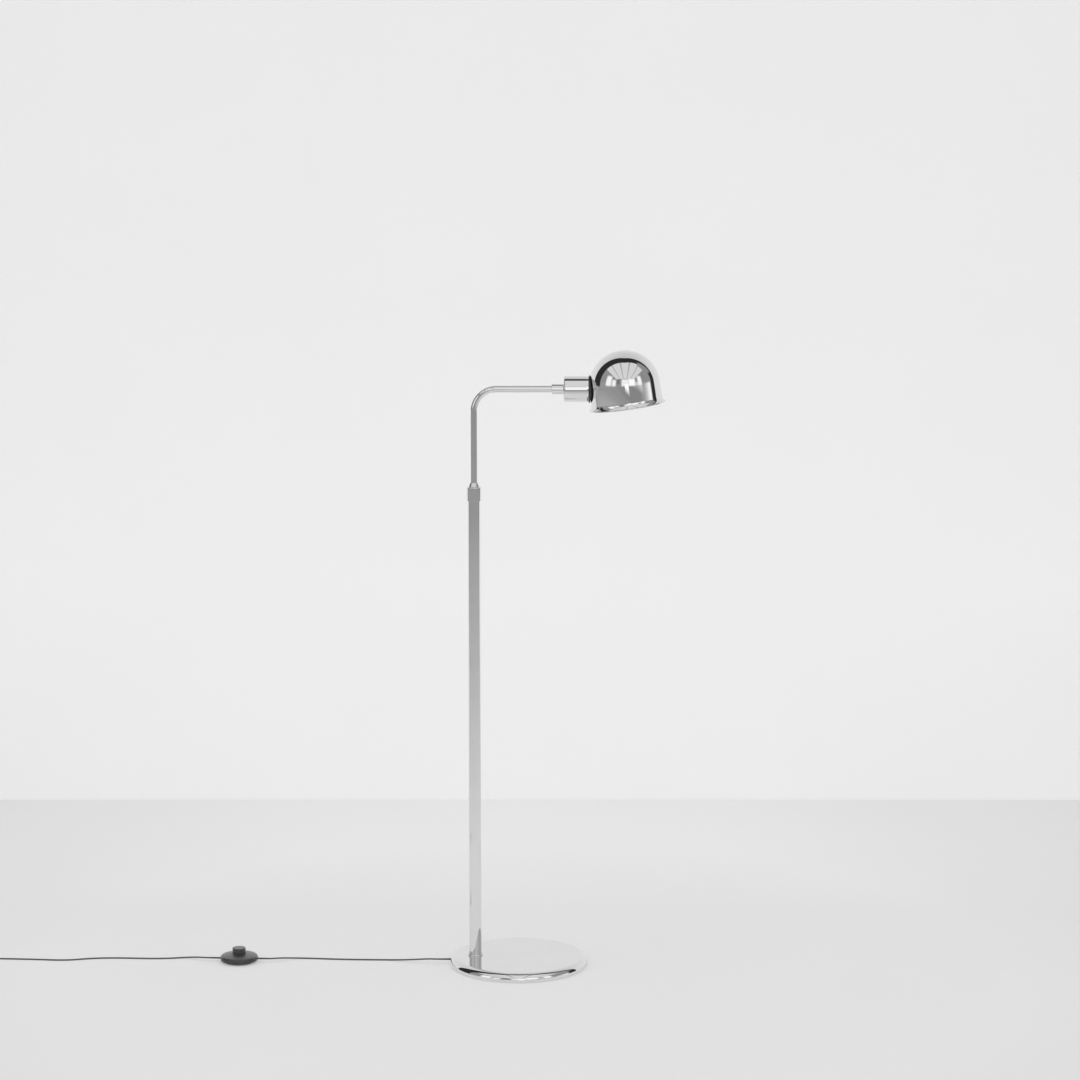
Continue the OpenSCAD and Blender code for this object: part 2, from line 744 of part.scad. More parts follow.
module friction_bush() {
    start = stop_pin_x + stop_washer_t / 2;
    color("white") along_arm(start)
        ring(chamber_r - gap, stud_r + fit, 0, sleeve_end - sleeve_wall - fit - start);
}

module swivel_nut() {
    color("gray") along_arm(nut_x) hex_nut(swivel_nut_af, stud_r + fit, 0, swivel_nut_t);
}

// ---- head ----

module socket_cup() {
    color("silver") difference() {
        along_arm(cup_x) rotate_extrude() difference() {
            disc_section(cup_r, 0, cup_len, cup_lip, cup_round);
            disc_section(cup_r - cup_wall, cup_wall, cup_len - cup_lip, cup_lip - cup_wall,
                cup_round - cup_wall);
            translate([0, cup_len / 2]) square([holder_r + fit, cup_len]);
        }
        along_arm(cup_x - 1) cylinder(r = stud_r + fit, h = cup_wall + 2);
    }
}

module cup_nut() {
    color("gray") along_arm(cup_x + cup_wall) hex_nut(cup_nut_af, stud_r + fit, 0, cup_nut_t);
}

module lampholder() {
    color("black") difference() {
        union() {
            along_arm(holder_x) cylinder(r = holder_r, h = cup_end - holder_x);
            along_arm(cup_end - eps) cylinder(r = neck_r, h = neck_end - cup_end);
        }
        along_arm(cap_x - 1) cylinder(r = shell_r, h = neck_end - cap_x + 2);
        for (s = [-1, 1]) along_arm(cup_x) translate([0, s * terminal_y, 0])
            cylinder(r = terminal_r + fit, h = holder_x + terminal_len + 0.1 - cup_x);
    }
}

module terminal_screws() {
    color("goldenrod") for (s = [-1, 1]) along_arm(holder_x) translate([0, s * terminal_y, 0])
        difference() {
            union() {
                translate([0, 0, -terminal_head_t]) cylinder(r = terminal_head_r, h = terminal_head_t);
                translate([0, 0, -terminal_head_t])
                    cylinder(r = terminal_r, h = terminal_head_t + terminal_len);
            }
            translate([-terminal_head_r, -slot_w / 2, -terminal_head_t - 1])
                cube([2 * terminal_head_r, slot_w, 1 + terminal_head_t / 2]);
        }
}

module screw_shell() {
    color("goldenrod") along_arm(cap_x) ring(shell_r - fit, shell_r - shell_t, 0, cap_len);
}

module centre_contact() {
    color("goldenrod") along_arm(cap_x - 1) {
        cylinder(r = contact_r, h = 2);
        translate([-contact_r, -2.5 * contact_r, 0]) cube([2 * contact_r, 2.5 * contact_r, contact_t]);
    }
}

module seat_ring() {
    color("black") difference() {
        union() {
            along_arm(cup_end) rotate_extrude() disc_section(seat_r, 0, seat_t, seat_edge, seat_edge);
            along_arm(cup_end) cylinder(r = boss_r, h = saddle_x - cup_end);
        }
        along_arm(cup_end - 1) cylinder(r = neck_r + fit, h = shade_nut_r);
        at_shade() rotate_extrude($fn = 180) shade_section(0);
    }
}

// Half section of the space under a face of the shade, inside = 0 for the outer face and
// shade_t for the inner one: a dome, a skirt, and a curve that turns out to the rim
module shade_section(inside) {
    r = dome_r - inside;
    bend = bell_r + inside;
    top = [r * cos(flare) - 2 * eps, skirt_h + r * sin(flare)];
    foot = [bell_x - (bend + eps) * cos(flare), bell_z - (bend + eps) * sin(flare)];
    lip = [bell_x - bend * cos(lip_turn), bell_z - bend * sin(lip_turn)];
    intersection() {
        translate([0, skirt_h]) circle(r = r);
        translate([0, skirt_h]) square([dome_r, dome_r]);
    }
    difference() {
        polygon([[0, lip[1]], [lip[0] + 1, lip[1]], [bell_x, bell_z], foot, top, [0, top[1]]]);
        translate([bell_x, bell_z]) circle(r = bend);
    }
}

module shade() {
    color("silver") difference() {
        at_shade() rotate_extrude() union() {
            difference() {
                shade_section(0);
                shade_section(shade_t);
            }
            translate([rim_r - bead_r, bead_r]) circle(r = bead_r);
        }
        along_arm(cup_end - 2) cylinder(r = neck_r + gap, h = shade_nut_r);
    }
}

module inner_saddle() {
    color("black") difference() {
        intersection() {
            along_arm(cup_end) cylinder(r = shade_nut_r, h = saddle_x - cup_end);
            at_shade() rotate_extrude($fn = 180) shade_section(shade_t);
        }
        along_arm(cup_end - 1) cylinder(r = neck_r + fit, h = shade_nut_r);
    }
}

module shade_nut() {
    color("black") along_arm(saddle_x) difference() {
        ring(shade_nut_r, neck_r + fit, 0, shade_nut_t);
        for (a = [0:360 / nut_grips:359]) rotate([0, 0, a]) translate([shade_nut_r, 0, -1])
            cylinder(r = 1, h = shade_nut_t + 2);
    }
}

module bulb_cap() {
    color("silver") {
        along_arm(cap_x + 1) cylinder(r1 = cap_r / 2, r2 = cap_r, h = cap_cone);
        along_arm(cap_x + 1 + cap_cone) cylinder(r = cap_r, h = cap_len - 1 - cap_cone);
    }
}

module bulb_glass() {
    color("white") along_arm(cap_x + cap_len) difference() {
        union() {
            cylinder(r = bulb_neck_r, h = bulb_neck);
            translate([0, 0, bulb_x - cap_x - cap_len]) sphere(r = bulb_d / 2);
        }
        translate([0, 0, bulb_x - cap_x - cap_len]) sphere(r = bulb_d / 2 - glass_t);
        translate([0, 0, 2 * glass_t]) cylinder(r = bulb_neck_r - glass_t, h = bulb_neck);
    }
}

module head_lead() {
    color("black") for (s = [-1, 1])
        tube_along(smooth([for (q = core_route) [q[0], s * q[1], arm_z]], 1.5), core_d, 8);
}

// ---- foot switch ----

module switch_pad() { color("black") at_switch() cylinder(r = foot_r - 1, h = pad_t); }

module switch_entries() {
    for (s = [0, 180]) rotate([0, 0, s]) translate([relief_x, 0, entry_z])
        rotate([0, 90, 0]) cylinder(r = relief_r + fit, h = relief_len);
}

module switch_screw_places() {
    for (a = [60, 120, 240, 300]) rotate([0, 0, a]) translate([screw_circle, 0, 0]) children();
}

module switch_base() {
    color("black") at_switch() difference() {
        union() {
            difference() {
                translate([0, 0, pad_t]) cylinder(r1 = foot_r, r2 = switch_r, h = seam_z - pad_t);
                translate([0, 0, floor_z]) cylinder(r1 = foot_r - switch_wall,
                    r2 = switch_r - switch_wall, h = seam_z - floor_z + eps);
            }
            switch_screw_places() translate([0, 0, pad_t]) cylinder(r = post_r, h = seam_z - pad_t);
        }
        switch_entries();
        switch_screw_places() cylinder(r = housing_screw_r + 0.1, h = seam_z + 1);
        switch_screw_places() cylinder(r = housing_head_r + 0.2, h = pad_t + housing_head_t);
    }
}

// Half section under the face that lies inset below the outside of the upper housing:
// a rounded shoulder and a flatter crown that meets it at the same slope
module crown_section(inset) {
    shoulder = shoulder_r - inset;
    tx = crown_x(inset);
    tz = crown_top(inset);
    wall = switch_r - inset - eps;
    polygon([[0, seam_z - 1], [wall, seam_z - 1], [wall, seam_z + 1], [tx, tz - 1], [0, tz - 1]]);
    translate([switch_r - shoulder_r, seam_z + 1]) intersection() {
        circle(r = shoulder);
        translate([0, -1]) square(2 * shoulder);
    }
    intersection() {
        translate([0, tz - crown_r(inset) * cos(crown_slope) - eps]) circle(r = crown_r(inset));
        translate([0, seam_z + 1]) square([tx, 2 * switch_r]);
    }
}

module switch_top() {
    post_top = crown_z(screw_circle + post_r, switch_wall) + 0.6;
    color("black") at_switch() difference() {
        union() {
            rotate_extrude() intersection() {
                difference() {
                    crown_section(0);
                    crown_section(switch_wall);
                }
                translate([0, seam_z]) square([switch_r + 1, button_h]);
            }
            switch_screw_places() translate([0, 0, seam_z]) cylinder(r = post_r, h = post_top - seam_z);
        }
        cylinder(r = button_r + gap / 2, h = button_h);
        switch_entries();
        switch_screw_places() cylinder(r = housing_screw_r, h = seam_z + housing_bite);
    }
}

module switch_core() {
    color("sienna") at_switch() translate([0, 0, floor_z]) cylinder(r = core_r, h = core_top - floor_z);
}

module switch_contacts() {
    color("goldenrod") at_switch() for (s = [0, 180]) rotate([0, 0, s]) {
        translate([terminal_x, 0, floor_z]) difference() {
            translate([0, -terminal_w / 2, 0]) cube([terminal_t, terminal_w, terminal_h]);
            translate([-1, 0, entry_z - floor_z]) rotate([0, 90, 0])
                cylinder(r = lead_r + fit, h = terminal_t + 2);
        }
        translate([core_r, -strip_w / 2, floor_z]) cube([terminal_x - core_r + eps, strip_w, strip_t]);
    }
}

module switch_screws() {
    color("gray") at_switch() switch_screw_places() {
        translate([0, 0, pad_t]) cylinder(r = housing_head_r, h = housing_head_t);
        translate([0, 0, pad_t]) cylinder(r = housing_screw_r - fit,
            h = seam_z + housing_bite - pad_t - loose);
    }
}

module switch_reliefs() {
    color("black") at_switch() for (s = [0, 180]) rotate([0, 0, s])
        translate([relief_x, 0, entry_z]) rotate([0, 90, 0])
            relief(switch_r - relief_x, relief_len);
}

module button_spring() {
    color("gray") at_switch()
        tube_along(helix(spring_r, core_top + spring_wire / 2, spring_top - spring_wire / 2,
            spring_turns, 8), spring_wire, 6);
}

module switch_button() {
    color("black") at_switch() difference() {
        union() {
            rotate_extrude() disc_section(button_r, flange_z, button_h, button_edge, 0.2);
            translate([0, 0, flange_z]) cylinder(r = flange_r, h = flange_t);
        }
        translate([0, 0, flange_z - 1])
            cylinder(r = spring_r + spring_wire + loose, h = spring_top - flange_z + 1);
    }
}

// ---- cord and plug ----

module cord_to_switch() {
    p = smooth(to_switch_route, 10);
    echo("cord to switch, mm", path_length(p), "rings", len(p));
    color("black") tube_along(p, cord_d, 8);
}

module cord_to_plug() {
    p = smooth(to_plug_route, 10);
    echo("cord to coil, mm", path_length(p), "rings", len(p));
    color("black") tube_along(p, cord_d, 8);
}

module cord_coil() {
    p = coil_path(24);
    echo("coil, mm", path_length(p), "least gap, mm", least_gap(p, 12, cord_d));
    color("black") tube_along(p, cord_d, 6);
}

module cord_tie() {
    near = sqrt(pow(coil_in - cord_d / 2, 2) - pow(tie_w / 2, 2)) - gap;
    far = coil_r + cord_d / 2 + tie_gap;
    low = coil_z - cord_d / 2 - tie_gap;
    high = coil_top + cord_d / 2 + tie_gap;
    color("dimgray") translate([coil_x - tie_w / 2, coil_y, 0]) difference() {
        translate([0, -far - tie_t, low - tie_t])
            cube([tie_w, far - near + 2 * tie_t, high - low + 2 * tie_t]);
        translate([-1, -far, low]) cube([tie_w + 2, far - near, high - low]);
    }
}

module plug_cord() {
    p = smooth(plug_route, 8);
    echo("cord to plug, mm", path_length(p), "rings", len(p));
    color("black") tube_along(p, cord_d, 8);
}

module plug_body() {
    back = plug_y - plug_relief;
    color("black") difference() {
        union() {
            translate([plug_x, plug_y, plug_axis]) rotate([90, 0, 0])
                cylinder(r1 = relief_tip_r, r2 = plug_relief_r, h = plug_relief);
            translate([plug_x, back, 0]) linear_extrude(plug_t) polygon([
                [-plug_w / 2 + plug_taper, 0], [plug_w / 2 - plug_taper, 0],
                [plug_w / 2, -plug_len + plug_grip], [plug_w / 2, -plug_len + plug_edge],
                [plug_w / 2 - plug_edge, -plug_len], [-plug_w / 2 + plug_edge, -plug_len],
                [-plug_w / 2, -plug_len + plug_edge], [-plug_w / 2, -plug_len + plug_grip]]);
        }
        translate([plug_x, plug_y + 1, plug_axis]) rotate([90, 0, 0])
            cylinder(r = lead_r + fit, h = plug_relief + plug_edge);
        for (s = [-1, 1]) translate([plug_x + s * pin_gap / 2, back - plug_len + pin_root, plug_axis])
            rotate([90, 0, 0]) cylinder(r = pin_d / 2 - loose, h = pin_root + 1);
    }
}

module plug_pins() {
    face = plug_y - plug_relief - plug_len;
    color("goldenrod") for (s = [-1, 1])
        translate([plug_x + s * pin_gap / 2, face + pin_root, plug_axis]) rotate([90, 0, 0]) {
            cylinder(r = pin_d / 2 - loose, h = pin_root + 1);
            translate([0, 0, pin_root]) cylinder(r = pin_d / 2, h = pin_len - 1);
            translate([0, 0, pin_root + pin_len - 1])
                cylinder(r1 = pin_d / 2, r2 = pin_d / 2 - 1, h = 1);
        }
}

base_cover();
base_weight();
base_plate();
base_felt();
base_screws();
base_relief();
base_lead();
foot_ring();
mast_nipple();
mast_washer();
mast_nut();
mast_plug();
outer_tube();
collar();
collar_nose();
collar_bush();
mast_lead();
slide_guide();
guide_spring();
arm_tube();
arm_clips();
arm_stop_pin();
arm_grommet();
arm_lead();
swivel_sleeve();
head_stop_pin();
swivel_stud();
stop_washer();
friction_bush();
swivel_nut();
socket_cup();
cup_nut();
lampholder();
terminal_screws();
screw_shell();
centre_contact();
seat_ring();
shade();
inner_saddle();
shade_nut();
bulb_cap();
bulb_glass();
head_lead();
switch_pad();
switch_base();
switch_top();
switch_core();
switch_contacts();
switch_screws();
switch_reliefs();
button_spring();
switch_button();
cord_to_switch();
cord_to_plug();
cord_coil();
cord_tie();
plug_cord();
plug_body();
plug_pins();
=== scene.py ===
"""Looks of a chrome floor lamp: telescopic bent arm, dome shade, cord with a foot switch.

Lengths are in millimetres, as in the part's source, and MM turns them into Blender's metres.
"""
import json
from math import acos, atan2, ceil, cos, degrees, floor, pi, radians, sin, sqrt, tan

import bpy
from mathutils import Matrix, Vector


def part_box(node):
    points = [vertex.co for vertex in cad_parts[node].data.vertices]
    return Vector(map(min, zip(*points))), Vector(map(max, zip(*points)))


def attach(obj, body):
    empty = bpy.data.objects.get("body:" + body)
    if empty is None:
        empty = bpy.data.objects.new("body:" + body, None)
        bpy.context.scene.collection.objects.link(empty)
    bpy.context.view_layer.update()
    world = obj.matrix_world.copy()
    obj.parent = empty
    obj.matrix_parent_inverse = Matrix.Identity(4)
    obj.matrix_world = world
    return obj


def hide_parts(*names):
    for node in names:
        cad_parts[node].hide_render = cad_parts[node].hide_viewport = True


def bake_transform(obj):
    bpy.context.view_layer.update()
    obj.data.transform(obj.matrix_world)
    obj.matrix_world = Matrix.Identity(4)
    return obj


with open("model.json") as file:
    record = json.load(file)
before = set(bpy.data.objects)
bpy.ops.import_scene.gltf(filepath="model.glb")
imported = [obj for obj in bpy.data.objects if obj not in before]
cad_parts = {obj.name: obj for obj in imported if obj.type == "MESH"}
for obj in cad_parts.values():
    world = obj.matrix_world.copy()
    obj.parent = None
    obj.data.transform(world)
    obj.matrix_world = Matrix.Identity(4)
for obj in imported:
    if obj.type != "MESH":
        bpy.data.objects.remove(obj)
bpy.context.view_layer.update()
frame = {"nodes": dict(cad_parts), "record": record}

MM = 0.001


def low(node):
    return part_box(node)[0] / MM


def high(node):
    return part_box(node)[1] / MM


# ---- sizes, from the frame where it has them ----

BASE_R = high("base_cover").x
BASE_H = high("base_cover").z
BASE_ROUND = 12                     # rounding of the base's upper edge
COVER_LIFT = 0.3                    # the cover's lower edge stands this far over the floor
LIP_ROUND = 0.8
LIP_W = 4                           # the cover's lower lip turns in by this
COVER_T = 1.2
MAST_X = (low("outer_tube").x + high("outer_tube").x) / 2
MAST_R = (high("outer_tube").x - low("outer_tube").x) / 2
COLLAR_R = (high("collar").x - low("collar").x) / 2
COLLAR_Z = low("collar").z
COLLAR_TOP = high("collar").z
COLLAR_EDGE = 1.2                   # rounding of the collar's upper edge
NOSE_R = 9.8                        # foot of the cone nut
NOSE_TOP = high("collar_nose").z
ARM_R = 6
ARM_Z = high("arm_tube").z - ARM_R
ARM_FOOT = low("arm_tube").z
BEND_R = 40                         # of the arm's bend, at the middle of the tube
SLEEVE_X = low("swivel_sleeve").x
SLEEVE_END = high("swivel_sleeve").x
SLEEVE_R = high("swivel_sleeve").y
CUP_X = low("socket_cup").x
CUP_END = high("socket_cup").x
CUP_R = high("socket_cup").y
CUP_DRAWN, CUP_TAPER = 3.6, 0.7     # the open end of the cup is drawn in
DOME_R = 63.2
DOME_RISE = 5.8                     # of the dome's centre over the arm's line
DOME_GAP = 0.8                      # from the cup to the dome on the arm's line
SKIRT_H = 36.8                      # from the rim to the dome's centre
SHOULDER = 2.4                      # where the dome goes over into the skirt, degrees
BELL_R = 14                         # curve of the rim, which turns by LIP_TURN
LIP_TURN = 46                       # degrees outwards, where the rolled edge begins
RIM_R = high("shade").y
BEAD_R = 1.2                        # of the rolled edge
SHADE_T = 0.8
SHADE_TILT = 8.2                    # degrees
SWITCH = Vector(((low("switch_top").x + high("switch_top").x) / 2,
                 (low("switch_top").y + high("switch_top").y) / 2, 0))
SWITCH_R = (high("switch_top").x - low("switch_top").x) / 2
SWITCH_TURN = -3                    # degrees
SEAM_Z = high("switch_base").z
BUTTON_FLANGE = 2
BUTTON_R = (high("switch_button").x - low("switch_button").x) / 2 - BUTTON_FLANGE
CORD_D = 2.8
RELIEF_LEN = 20

# steps round the turned pieces
FINEST, FINE, COMMON, COARSE = 256, 128, 96, 32

AT_MAST = Matrix.Translation((MAST_X * MM, 0, 0))
AT_SWITCH = Matrix.Translation(SWITCH * MM) @ Matrix.Rotation(radians(SWITCH_TURN), 4, "Z")
DOME = Vector((CUP_END + DOME_GAP + sqrt(DOME_R ** 2 - DOME_RISE ** 2), 0, ARM_Z + DOME_RISE))
AT_SHADE = (Matrix.Translation(DOME * MM) @ Matrix.Rotation(radians(-SHADE_TILT), 4, "Y")
            @ Matrix.Translation((0, 0, -SKIRT_H * MM)))


def along_arm(x):
    """Place of a shape that is drawn about +Z and lies along the arm from x outwards."""
    return Matrix.Translation((x * MM, 0, ARM_Z * MM)) @ Matrix.Rotation(pi / 2, 4, "Y")


# ---- camera ----

LENS, SENSOR = 100, 36
EYE, VIEW_END = (0.03837, -5.2926, 1.5557), 40      # metres
TILT = 81.652                                       # degrees from straight down


def make_camera():
    data = bpy.data.cameras.new("camera")
    data.lens = LENS
    data.sensor_width = SENSOR
    data.clip_end = VIEW_END
    camera = bpy.data.objects.new("camera", data)
    camera.location = EYE
    camera.rotation_euler = (radians(TILT), 0, 0)
    bpy.context.scene.collection.objects.link(camera)
    bpy.context.scene.camera = camera


# ---- outlines and turned shapes ----

class Outline:
    """Half section of a turned shape: steps from point to point, (radius, height) in mm,
    each with the direction that the surface faces at both of its ends. It runs from the
    axis below, round the outside, to the axis above, or the other way round a hollow."""

    def __init__(self, material=0):
        self.steps = []
        self.material = material

    def line(self, a, b):
        a, b = Vector(a), Vector(b)
        if (b - a).length > 1e-6:
            along = (b - a).normalized()
            facing = Vector((along.y, -along.x))
            self.steps.append((a, facing, b, facing, self.material))
        return self

    def arc(self, centre, radius, start, end, step=5, hollow=False):
        """Arc from start to end, in degrees from the direction of the radius."""
        n = max(2, ceil(abs(end - start) / step))
        angles = [radians(start + (end - start) * i / n) for i in range(n + 1)]
        ways = [Vector((cos(a), sin(a))) for a in angles]
        sign = -1 if hollow else 1
        for u, v in zip(ways, ways[1:]):
            self.steps.append((Vector(centre) + radius * u, sign * u,
                               Vector(centre) + radius * v, sign * v, self.material))
        return self

    def path(self, *corners):
        """Straight run with rounded corners; a corner is (radius, height) or adds a rounding."""
        points = [Vector(c[:2]) for c in corners]
        here = points[0]
        for i in range(1, len(points)):
            rounding = corners[i][2] if len(corners[i]) > 2 else 0
            if rounding and i < len(points) - 1:
                p = points[i]
                back = (points[i - 1] - p).normalized()
                on = (points[i + 1] - p).normalized()
                half = back.angle(on) / 2
                cut = rounding / tan(half)
                self.line(here, p + back * cut)
                centre = p + (back + on).normalized() * rounding / sin(half)
                first = degrees(atan2(*reversed(p + back * cut - centre)))
                last = degrees(atan2(*reversed(p + on * cut - centre)))
                turn = (last - first + 180) % 360 - 180
                self.arc(centre, rounding, first, first + turn, hollow=turn < 0)
                here = p + on * cut
            else:
                self.line(here, points[i])
                here = points[i]
        return self


def finished(name, mesh, materials, body, nodes):
    """Makes an object of the mesh that rides on its body and stands for CAD nodes."""
    piece = bpy.data.objects.new(name, mesh)
    bpy.context.scene.collection.objects.link(piece)
    for m in materials:
        mesh.materials.append(m)
    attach(piece, body)
    if nodes:
        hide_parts(*nodes)
    return piece


def turned(outline, place, around=COMMON):
    """Vertices, faces, corner normals and materials of the outline turned about +Z."""
    points, faces, normals, materials = [], [], [], []
    rings = {}
    normal_matrix = place.to_3x3()

    def ring(p):
        key = (round(p.x, 5), round(p.y, 5))
        if key not in rings:
            rings[key] = len(points)
            for k in range(around if p.x > 1e-6 else 1):
                a = 2 * pi * k / around
                points.append(place @ (Vector((p.x * cos(a), p.x * sin(a), p.y)) * MM))
        return rings[key]

    for a, na, b, nb, material in outline.steps:
        ra, rb = ring(a), ring(b)
        for k in range(around):
            m = (k + 1) % around
            corners = []
            for start, p, n, j in ((ra, a, na, k), (ra, a, na, m), (rb, b, nb, m), (rb, b, nb, k)):
                single = p.x <= 1e-6
                index = start if single else start + j
                if corners and any(index == c[0] for c in corners):
                    continue
                angle = 2 * pi * (j if not single else k + 0.5) / around
                facing = Vector((n.x * cos(angle), n.x * sin(angle), n.y))
                corners.append((index, normal_matrix @ facing))
            if len(corners) > 2:
                faces.append([c[0] for c in corners])
                normals += [c[1] for c in corners]
                materials.append(material)
    return points, faces, normals, materials


def mesh_of(name, *shapes):
    """One mesh of several shapes from turned()."""
    points, faces, normals, materials = [], [], [], []
    for p, f, n, m in shapes:
        faces += [[i + len(points) for i in face] for face in f]
        points += p
        normals += n
        materials += m
    mesh = bpy.data.meshes.new(name)
    mesh.from_pydata(points, [], faces)
    mesh.polygons.foreach_set("material_index", materials)
    mesh.shade_smooth()
    mesh.normals_split_custom_set(normals)
    return mesh


def turned_piece(name, outline, place, materials, body, nodes=(), around=COMMON):
    mesh = mesh_of(name, turned(outline, place, around))
    return finished(name, mesh, materials, body, nodes)


# ---- materials ----

NOISE_SPAN = 0.3, 0.7           # the noise keeps mostly between these
PATCH_DETAIL, GRAIN_DETAIL = 3, 5
# dust and painted top light, a grey that lightens faces that look up as light from above would: how
# far faces look up where it begins and where it is full, and how uneven it lies
TOP_LIGHT_FACING, DUST_AND_LIGHT_SPAN, DUST_AND_LIGHT_LEAST = (0.25, 0.95), (0.35, 0.65), 0.7


def new_material(name):
    material = bpy.data.materials.new(name)
    material.use_nodes = True
    nodes, links = material.node_tree.nodes, material.node_tree.links
    return material, nodes, links, nodes["Principled BSDF"]


def noise(nodes, links, place, scale, detail):
    texture = nodes.new("ShaderNodeTexNoise")
    texture.inputs["Scale"].default_value = scale
    texture.inputs["Detail"].default_value = detail
    links.new(place, texture.inputs["Vector"])
    return texture.outputs["Fac"]


def ranged(nodes, links, value, low_in, high_in, low_out, high_out):
    node = nodes.new("ShaderNodeMapRange")
    for key, number in zip(("From Min", "From Max", "To Min", "To Max"),
                           (low_in, high_in, low_out, high_out)):
        node.inputs[key].default_value = number
    links.new(value, node.inputs["Value"])
    return node.outputs["Result"]


def calc(nodes, links, operation, *values):
    """Math node of numbers and sockets."""
    node = nodes.new("ShaderNodeMath")
    node.operation = operation
    for socket, value in zip(node.inputs, values):
        if isinstance(value, (int, float)):
            socket.default_value = value
        else:
            links.new(value, socket)
    return node.outputs[0]


def blended(nodes, links, share, first, second):
    node = nodes.new("ShaderNodeMix")
    node.data_type = "RGBA"
    node.inputs["A"].default_value = (*first, 1)
    node.inputs["B"].default_value = (*second, 1)
    links.new(share, node.inputs["Factor"])
    return node.outputs["Result"]


def surface(name, first, second, rough, patch=40, grain=900, relief=0.0, depth=0.0001,
            dust_and_top_light=0, **constants):
    """Material whose colour and roughness drift over patches, with a fine grain in relief.
    patch and grain are noise scales per metre; the grey given for dust and painted top light lies
    on faces that look up, partly dust and partly painted light from above."""
    material, nodes, links, shader = new_material(name)
    place = nodes.new("ShaderNodeTexCoord").outputs["Object"]
    patches = noise(nodes, links, place, patch, PATCH_DETAIL)
    fine = noise(nodes, links, place, grain, GRAIN_DETAIL)
    drift = ranged(nodes, links, patches, *NOISE_SPAN, 0, 1)
    colour = blended(nodes, links, drift, first, second)
    # painted top light with dust: faces that look up get a lighter grey, as if lit from above
    if dust_and_top_light:
        facing = nodes.new("ShaderNodeSeparateXYZ")
        links.new(nodes.new("ShaderNodeNewGeometry").outputs["Normal"], facing.inputs["Vector"])
        dust_and_light_film = nodes.new("ShaderNodeMix")
        dust_and_light_film.data_type = "RGBA"
        dust_and_light_film.inputs["B"].default_value = (*grey(dust_and_top_light), 1)
        links.new(colour, dust_and_light_film.inputs["A"])
        lying = ranged(nodes, links, facing.outputs["Z"], *TOP_LIGHT_FACING, 0, 1)
        uneven = ranged(nodes, links, fine, *DUST_AND_LIGHT_SPAN, DUST_AND_LIGHT_LEAST, 1)
        links.new(calc(nodes, links, "MULTIPLY", lying, uneven), dust_and_light_film.inputs["Factor"])
        colour = dust_and_light_film.outputs["Result"]
    links.new(colour, shader.inputs["Base Color"])
    links.new(ranged(nodes, links, patches, *NOISE_SPAN, *rough), shader.inputs["Roughness"])
    if relief:
        bump = nodes.new("ShaderNodeBump")
        bump.inputs["Strength"].default_value = relief
        bump.inputs["Distance"].default_value = depth
        links.new(fine, bump.inputs["Height"])
        links.new(bump.outputs["Normal"], shader.inputs["Normal"])
    for key, number in constants.items():
        shader.inputs[key.replace("_", " ")].default_value = number
    return material


def grey(value):
    return (value, value, value)


chrome = surface("chrome", (0.80, 0.80, 0.805), (0.83, 0.83, 0.832), (0.012, 0.035), patch=25,
                 grain=1500, relief=0.02, depth=0.00002, Metallic=1.0)
enamel = surface("white_enamel", (0.82, 0.81, 0.78), (0.86, 0.855, 0.83), (0.22, 0.30), patch=30,
                 grain=700, relief=0.08, depth=0.00004, Coat_Weight=0.3, Coat_Roughness=0.12)
# the black's lighter grey on faces that look up is partly dust, partly painted light from above
moulded = surface("moulded_black", grey(0.006), grey(0.009), (0.40, 0.48), patch=50,
                  grain=2600, relief=0.12, depth=0.00003, dust_and_top_light=0.05, IOR=1.35, Coat_Weight=1.0,
                  Coat_Roughness=0.40, Coat_IOR=1.65)
bakelite = surface("bakelite", (0.012, 0.010, 0.009), (0.022, 0.017, 0.014), (0.16, 0.26),
                   patch=80, grain=1800, relief=0.06, depth=0.00003, IOR=1.6)
rubber = surface("rubber", grey(0.050), grey(0.065), (0.42, 0.55), patch=70, grain=3000,
                 relief=0.25, depth=0.00004)
sheath = surface("cord_sheath", grey(0.070), grey(0.082), (0.34, 0.46), patch=60, grain=2400,
                 relief=0.18, depth=0.00003)
iron = surface("cast_iron", grey(0.10), grey(0.17), (0.62, 0.85), patch=90, grain=1400,
               relief=0.8, depth=0.0003, Metallic=0.4)
zinc = surface("zinc_steel", (0.52, 0.52, 0.50), (0.64, 0.64, 0.62), (0.28, 0.42), patch=120,
               grain=2200, relief=0.15, depth=0.00005, Metallic=1.0)
felt = surface("felt", grey(0.016), grey(0.036), (0.9, 1.0), patch=400, grain=3800, relief=1.0,
               depth=0.0004, Sheen_Weight=0.35, Sheen_Roughness=0.6)
brass = surface("brass", (0.78, 0.57, 0.24), (0.86, 0.66, 0.32), (0.18, 0.32), patch=90,
                grain=2000, relief=0.1, depth=0.00004, Metallic=1.0)
nylon = surface("nylon", (0.74, 0.73, 0.68), (0.82, 0.81, 0.77), (0.38, 0.48), patch=60,
                grain=1200, relief=0.1, depth=0.00005)
aluminium = surface("aluminium", grey(0.74), grey(0.80), (0.22, 0.34), patch=140, grain=2200,
                    relief=0.1, depth=0.00004, Metallic=1.0)
opal = surface("opal_glass", (0.90, 0.90, 0.88), (0.93, 0.93, 0.915), (0.10, 0.16), patch=30,
               grain=900, relief=0.02, depth=0.00003, Coat_Weight=0.5, Coat_Roughness=0.05)

BY_SLOT = {"chrome": chrome, "iron": iron, "steel": zinc, "felt": felt, "rubber": rubber,
           "cord": sheath, "brass": brass, "nylon": nylon, "bakelite": bakelite, "cap": aluminium,
           "shade": enamel, "opal": opal, "switch": moulded}


def dress_nodes():
    """Gives each CAD node that stays in view the material of its slot."""
    for part in frame["record"]["subparts"]:
        mesh = frame["nodes"][part["node"]].data
        mesh.materials.clear()
        mesh.materials.append(BY_SLOT[part["material_slot"]])


# ---- cord ----

